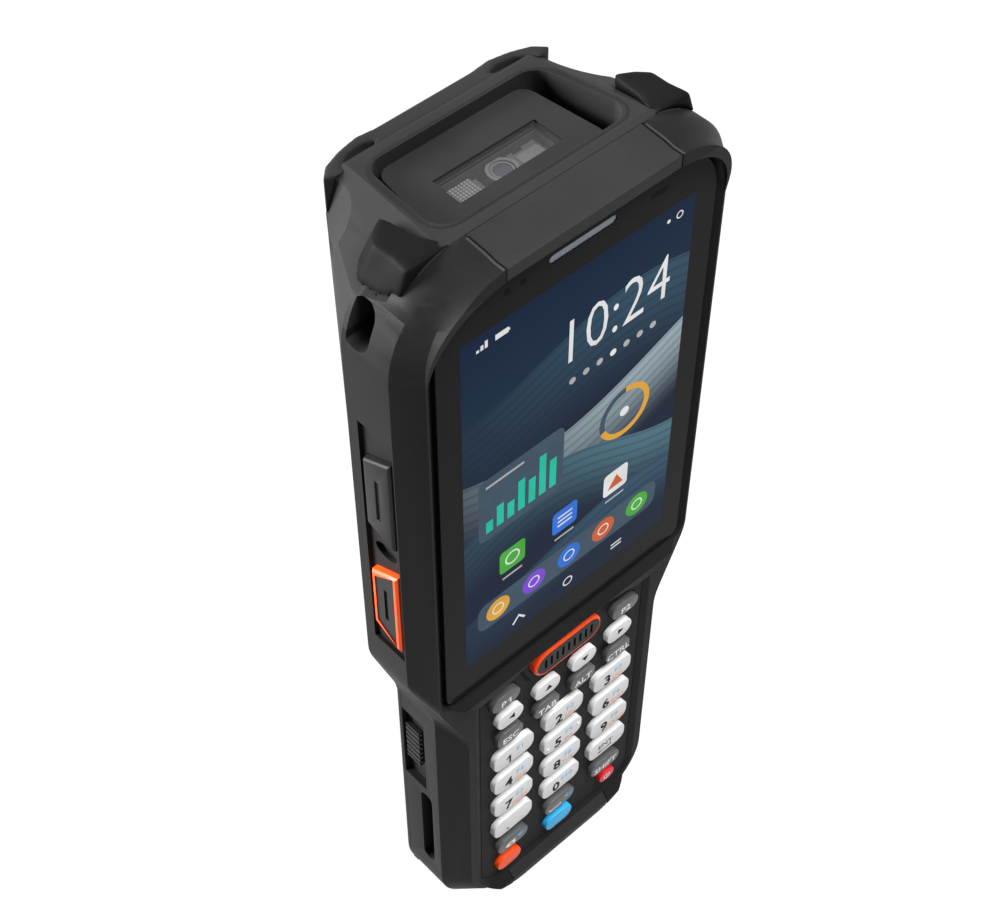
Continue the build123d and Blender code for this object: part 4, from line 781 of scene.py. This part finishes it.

# ---- Side scan keys: dark inserts with a slit, in their orange rims; the slit's floor is near black, which is painted shade in the slit
INSERT_FLOOR_X = 37.1
INSERT_HEIGHT = 0.3
INSERT_EDGE = ((-10.8, 110.4), (-5.7, 113.9), (-5.7, 127.1), (-10.8, 130.6))  # y and z
INSERT_SLIT = ((-8.7, 116.2), (-7.8, 116.2), (-7.8, 124.8), (-8.7, 124.8))
for word, side in SIDES:
    edge, slit = [[(side * y, z) for y, z in outline] for outline in (INSERT_EDGE, INSERT_SLIT)]
    node = "side_scan_key_" + word
    floor = (side * INSERT_FLOOR_X, 0, 0)
    lay(band(edge, slit), floor, node + "_insert", DARK_KEY, node, "dark_key", word, INSERT_HEIGHT)
    # The slit's floor: painted shade.
    lay(polygons(slit), floor, node + "_slit_floor", BLACK_AND_PAINTED_SHADE, node, "dark_key", word)

# ---- Strap bars, paler than the housing's plastic: painted light on them
BAR_AT = (31.5, -5.2, 187.0)
BAR_SIZE = (2.0, 2.0, 8.2)
BAR_CORNER = 0.6
for word, side in SIDES:
    bar = boxed((side * BAR_AT[0], BAR_AT[1], BAR_AT[2]), BAR_SIZE, BAR_CORNER)
    piece_from(bar, "strap_bar_" + word, PALE_TRIM_AND_PAINTED_LIGHT, "root", "housing")

# ---- Scan engine's face under the window
ENGINE_TOP = 190.6
STEP_HEIGHT = 0.5  # of the lamp's base and of the reflector
BARREL_TOP = 191.4
ENGINE_FACE = (0, 0, ENGINE_TOP)
STEP_FACE = (0, 0, ENGINE_TOP + STEP_HEIGHT)
LENS_AT = (0.6, 2.9, BARREL_TOP)
CELL_PITCH = 0.62
LAMP_BASE = block(-9.6, -4.3, 1.6, 5.8)
LAMP_CELLS = [
    block(
        -9.4 + CELL_PITCH * column, -9.0 + CELL_PITCH * column,
        1.9 + CELL_PITCH * row, 2.3 + CELL_PITCH * row,
    )
    for column in range(8) for row in range(6)
]
REFLECTOR = [
    (3.6, 0.8), (9.9, 0.8), (9.9, 5.8), (6.74, 5.8), (6.74, 4.8), (4.65, 4.8), (4.65, 5.8), (3.6, 5.8)
]
REFLECTOR_FACE = block(4.5, 9.3, 1.3, 4.2)
ENGINE_FIGURES = (  # shape, place, name, finish, height
    (polygons(LAMP_BASE, corner=0.3), ENGINE_FACE, "aiming_lamp_base", ENGINE, STEP_HEIGHT),
    (polygons(*LAMP_CELLS), STEP_FACE, "aiming_lamp_cells", LED_PALE, 0.1),
    (polygons(REFLECTOR), ENGINE_FACE, "reflector", ENGINE, STEP_HEIGHT),
    (polygons(REFLECTOR_FACE, corner=0.5), STEP_FACE, "reflector_face", ENGINE_PALE, 0.1),
    (ring(2.55, 0.6), LENS_AT, "lens_hood", ENGINE_PALE, 0.35),
    (ring(1.85, 0.35), LENS_AT, "lens_collar", ENGINE_PALE, 0.2),
    (disc(1.6), LENS_AT, "lens_glass", LENS_GLASS, 0.05),
)
for shape, spot, name, finish, height in ENGINE_FIGURES:
    lay(shape, spot, name, finish, "root", "engine", "top", height)

# ---- Darker band of the head's ring, along the well: painted shade of the slight step there
RING_PLANE = (0, 0, 197.415)  # the ring's face at y 0
BAND_HEIGHT = 0.03
BAND_OUTER = [(-21.8, -7.0), (21.8, -7.0), (19.6, 15.3), (-19.6, 15.3)]
BAND_INNER = [(-21.1, -6.5), (21.1, -6.5), (18.5, 14.8), (-18.5, 14.8)]
ring_band = band(rounded(BAND_OUTER, 5.0), rounded(BAND_INNER, 4.0))
lay(ring_band, RING_PLANE, "ring_band", RING_SHADE, "root", "soft_casing", "ring", BAND_HEIGHT)

# ---- Seams beside the top bezel: a pale strip on the housing's edge, which is a painted highlight, and a dark joint whose black is partly painted shade in the gap
SEAM_X = 18.83
SEAM_LINE = ((-18.7, 197.88), (-16.5, 197.88), (-14.5, 198.28), (-10.3, 198.65))  # y and z
SEAM_PROUD = 0.03
SEAM_SUNK = 0.15
HIGHLIGHT_WIDTH = 0.42
JOINT_WIDTH = 0.38
for word, side in SIDES:
    line = [(side * y, z + SEAM_PROUD) for y, z in SEAM_LINE]
    line += [(side * y, z - SEAM_SUNK) for y, z in reversed(SEAM_LINE)]
    spot = (side * SEAM_X, 0, 0)
    lay(polygons(line), spot, "seam_highlight_" + word, SEAM_HIGHLIGHT, "root", "housing", word, HIGHLIGHT_WIDTH, 0)
    lay(polygons(line), spot, "seam_joint_" + word, BLACK_AND_PAINTED_SHADE, "root", "housing", word, 0, JOINT_WIDTH)

# ---- Rear camera
CAMERA_Z = 157.0
BACK_Y = 8.8
LENS_FRONT = (12.0, 8.0, CAMERA_Z)  # the camera's front, behind its window
CAMERA_ON_BACK = (12.0, BACK_Y, CAMERA_Z)
LAMP_ON_BACK = (2.5, BACK_Y, CAMERA_Z)
CAMERA_FIGURES = (  # shape, place, name, finish, slot, height
    (ring(4.2, 0.7), LENS_FRONT, "camera_collar", STEEL, "engine", 0.2),
    (ring(2.9, 0.5), LENS_FRONT, "camera_ring", ENGINE_PALE, "engine", 0.3),
    (disc(2.2), LENS_FRONT, "camera_lens", LENS_GLASS, "engine", 0.1),
    (ring(5.35, 0.5), CAMERA_ON_BACK, "camera_rim", PALE_TRIM_AND_PAINTED_LIGHT, "housing", 0.25),
    (ring(2.1, 0.45), LAMP_ON_BACK, "lamp_rim", PALE_TRIM_AND_PAINTED_LIGHT, "housing", 0.25),
    (disc(1.2), LAMP_ON_BACK, "lamp_cover", LED_PALE, "engine", 0.05),
)
for shape, spot, name, finish, slot, height in CAMERA_FIGURES:
    lay(shape, spot, name, finish, "root", slot, "back", height)

# ---- Marks on the glass and the keypad panel; the sensors' discs and the panel's groove are near black as painted shade
GLASS_Y = -16.2
PANEL_Y = -15.8
SENSORS_X = (-16.1, -12.8)
SENSORS_Z = 189.7
FLASH_SLOT = block(15.0, 19.0, 188.9, 190.1)
PANEL_GROOVE = [(-12.18, 82.0), (-10.12, 76.7), (-8.76, 75.5), (-11.34, 82.1)]
# The sensors' dark discs: painted shade of their recesses.
for count, x in enumerate(SENSORS_X):
    lay(disc(0.7), (x, GLASS_Y, SENSORS_Z), f"sensor_{count + 1}", BLACK_AND_PAINTED_SHADE, "root", "display_glass")
flash_slot = polygons(FLASH_SLOT, corner=0.58)
lay(flash_slot, (0, GLASS_Y, 0), "flash_slot", BLACK_AND_PAINTED_SHADE, "root", "display_glass")
# The panel's groove: a dark strip of painted shade along the recess edge by the scan key.
lay(polygons(PANEL_GROOVE), (0, PANEL_Y, 0), "panel_groove", BLACK_AND_PAINTED_SHADE, "root", "keypad_panel")

# ---- What the display shows
figure_numbers = itertools.count(1)


def show(shape, finish, u=0.0, v=0.0, layer=0):
    """A flat figure on the display's glass, each layer in front of the one before."""
    name = f"display_figure_{next(figure_numbers)}"
    lay(shape, (u, GLASS_Y - layer * PROUD, v), name, finish, "root", "display_module")


CLOCK_SIZE = 15.0
CLOCK_AT = (8.5, GLASS_Y, 168.0)
lettering(
    "10:24", CLOCK_SIZE, CLOCK_AT, "display_clock", LIT_WHITE, "root", -0.16, 0.8
)
DAY_PITCH = 3.2
DAYS_Z = 158.6
TODAY = 3
for day in range(7):
    dot = LIT_WHITE if day == TODAY else LIT_PALE
    show(disc(0.75), dot, CLOCK_AT[0] + (day - TODAY) * DAY_PITCH, DAYS_Z)

STATUS_Z = 181.4
STATUS_BARS = (
    block(-22.6, -22.0, 180.6, 181.2), block(-21.7, -21.1, 180.6, 181.7),
    block(-20.8, -20.2, 180.6, 182.2), block(-18.6, -15.8, 180.8, 182.0),
    block(-15.8, -15.5, 181.15, 181.65),
)
show(polygons(*STATUS_BARS), LIT_WHITE)
show(ring(0.7, 0.25), LIT_WHITE, 22.4, STATUS_Z)
show(disc(0.4), LIT_WHITE, 19.8, STATUS_Z)

CARD = block(-22.5, -2.5, 132.0, 148.5)
CARD_TITLE = block(-20.8, -12.0, 146.0, 146.6)
CHART_FOOT = 134.0
CHART_PITCH = 2.5
CHART = (3.0, 5.5, 4.2, 8.0, 6.4, 10.5, 7.6)
CHART_BARS = [
    block(-20.8 + CHART_PITCH * day, -19.2 + CHART_PITCH * day, CHART_FOOT, CHART_FOOT + tall)
    for day, tall in enumerate(CHART)
]
show(polygons(CARD, corner=1.6), LIT_SLATE)
show(polygons(*CHART_BARS), LIT_TEAL, layer=1)
show(polygons(CARD_TITLE), LIT_PALE, layer=1)

GAUGE = (12.5, 140.5)
show(ring(5.6, 1.3), LIT_SLATE, *GAUGE)
show(ring(5.6, 1.3, 250.0, -160.0), LIT_AMBER, *GAUGE, 1)
show(disc(1.1), LIT_WHITE, *GAUGE)

TILE = block(-3.1, 3.1, -3.1, 3.1)
TILES = ((-14.5, LIT_GREEN), (-1.5, LIT_BLUE), (11.5, LIT_WHITE))
TILES_Z = 122.0
CAPTION = block(-2.4, 2.4, -0.25, 0.25)
CAPTIONS_Z = 117.2
TEXT_LINES = [block(-1.8, 1.8, 1.0 - step, 1.4 - step) for step in (0, 1.2, 2.4)]
PEAK = [(-2.0, -1.6), (2.0, -1.6), (0.2, 1.6)]
for u, colour in TILES:
    show(polygons(TILE, corner=0.9), colour, u, TILES_Z)
    show(polygons(CAPTION), LIT_PALE, u, CAPTIONS_Z)
signs = ((ring(1.6, 0.35), LIT_WHITE), (polygons(*TEXT_LINES), LIT_WHITE), (polygons(PEAK), LIT_RUST))
for (u, _), (sign, colour) in zip(TILES, signs):
    show(sign, colour, u, TILES_Z, 1)

DOCK = block(-23.0, 23.0, 105.6, 113.4)
DOCK_Z = 109.5
DOCK_DISCS = (
    (-18.0, LIT_AMBER), (-9.0, LIT_VIOLET), (0.0, LIT_BLUE), (9.0, LIT_RUST), (18.0, LIT_GREEN)
)
show(polygons(DOCK, corner=2.4), LIT_SLATE)
for u, colour in DOCK_DISCS:
    show(disc(2.9), colour, u, DOCK_Z, 1)
    show(ring(1.3, 0.3), LIT_WHITE, u, DOCK_Z, 2)

FOOT_Z = 101.3
CHEVRON = [(-1.4, -0.7), (-1.0, -1.0), (0.3, 0.6), (1.6, -1.0), (2.0, -0.7), (0.3, 1.3)]
DOUBLE_BAR = (block(-1.4, 1.4, 0.4, 0.8), block(-1.4, 1.4, -0.6, -0.2))
show(polygons(CHEVRON), LIT_WHITE, -13.0, FOOT_Z)
show(ring(1.1, 0.3), LIT_WHITE, 0.0, FOOT_Z)
show(polygons(*DOUBLE_BAR), LIT_WHITE, 13.0, FOOT_Z)

# ---- Floor, world and lights
FLOOR_HALF = 4.0
FLOOR_PALE = 0.3
FLOOR_SHOWN = 0.85  # share of white in what the camera and gloss see, the rest shows the shadow
FLOOR_GLOW = 1.12
WORLD_LIGHT = 0.08
LAMPS = {  # place in metres, size in metres, power in watts
    "left_rear_panel": ((-0.90, 0.90, 0.40), 0.7, 70.0),
    "front_overhead_panel": ((0.30, -0.50, 1.45), 0.6, 33.0),
}
LAMPS_AIM = Vector((0, 0, 0.12))


def seen(nodes):
    """1 where the camera, gloss or glass looks."""
    rays = [
        nodes.node("ShaderNodeLightPath", output=name)
        for name in ("Is Camera Ray", "Is Glossy Ray", "Is Transmission Ray")
    ]
    return rays[0].larger(rays[1]).larger(rays[2])


def lay_floor():
    shape = bmesh.new()
    bmesh.ops.create_grid(shape, x_segments=1, y_segments=1, size=FLOOR_HALF)
    mesh = bpy.data.meshes.new("floor")
    shape.to_mesh(mesh)
    shape.free()
    floor = bpy.data.objects.new("floor", mesh)
    bpy.context.scene.collection.objects.link(floor)
    finish = Finish("pale_floor", Roughness=0.9, Base_Color=grey(FLOOR_PALE))
    glow = finish.node("ShaderNodeEmission", inputs={"Strength": FLOOR_GLOW})
    plain = Term(finish, finish.shader.outputs[0])
    mix = finish.node("ShaderNodeMixShader", inputs={0: seen(finish) * FLOOR_SHOWN, 1: plain, 2: glow})
    finish.feed(finish.tree.nodes["Material Output"].inputs["Surface"], mix)
    mesh.materials.append(finish.material)


def light_world():
    world = bpy.data.worlds.new("studio")
    bpy.context.scene.world = world
    world.use_nodes = True
    nodes = Nodes(world.node_tree)
    white = grey(1.0)
    lights = nodes.node("ShaderNodeBackground", inputs={"Color": white, "Strength": WORLD_LIGHT})
    shown = nodes.node("ShaderNodeBackground", inputs={"Color": white, "Strength": 1.0})
    mix = nodes.node("ShaderNodeMixShader", inputs={0: seen(nodes), 1: lights, 2: shown})
    nodes.feed(world.node_tree.nodes["World Output"].inputs["Surface"], mix)


def hang_lamps():
    for name, (spot, size, power) in LAMPS.items():
        data = bpy.data.lights.new(name, "AREA")
        data.size = size
        data.energy = power
        lamp = bpy.data.objects.new(name, data)
        turn = (LAMPS_AIM - Vector(spot)).to_track_quat("-Z", "Y").to_matrix().to_4x4()
        lamp.matrix_world = Matrix.Translation(spot) @ turn
        bpy.context.scene.collection.objects.link(lamp)


lay_floor()
light_world()
hang_lamps()
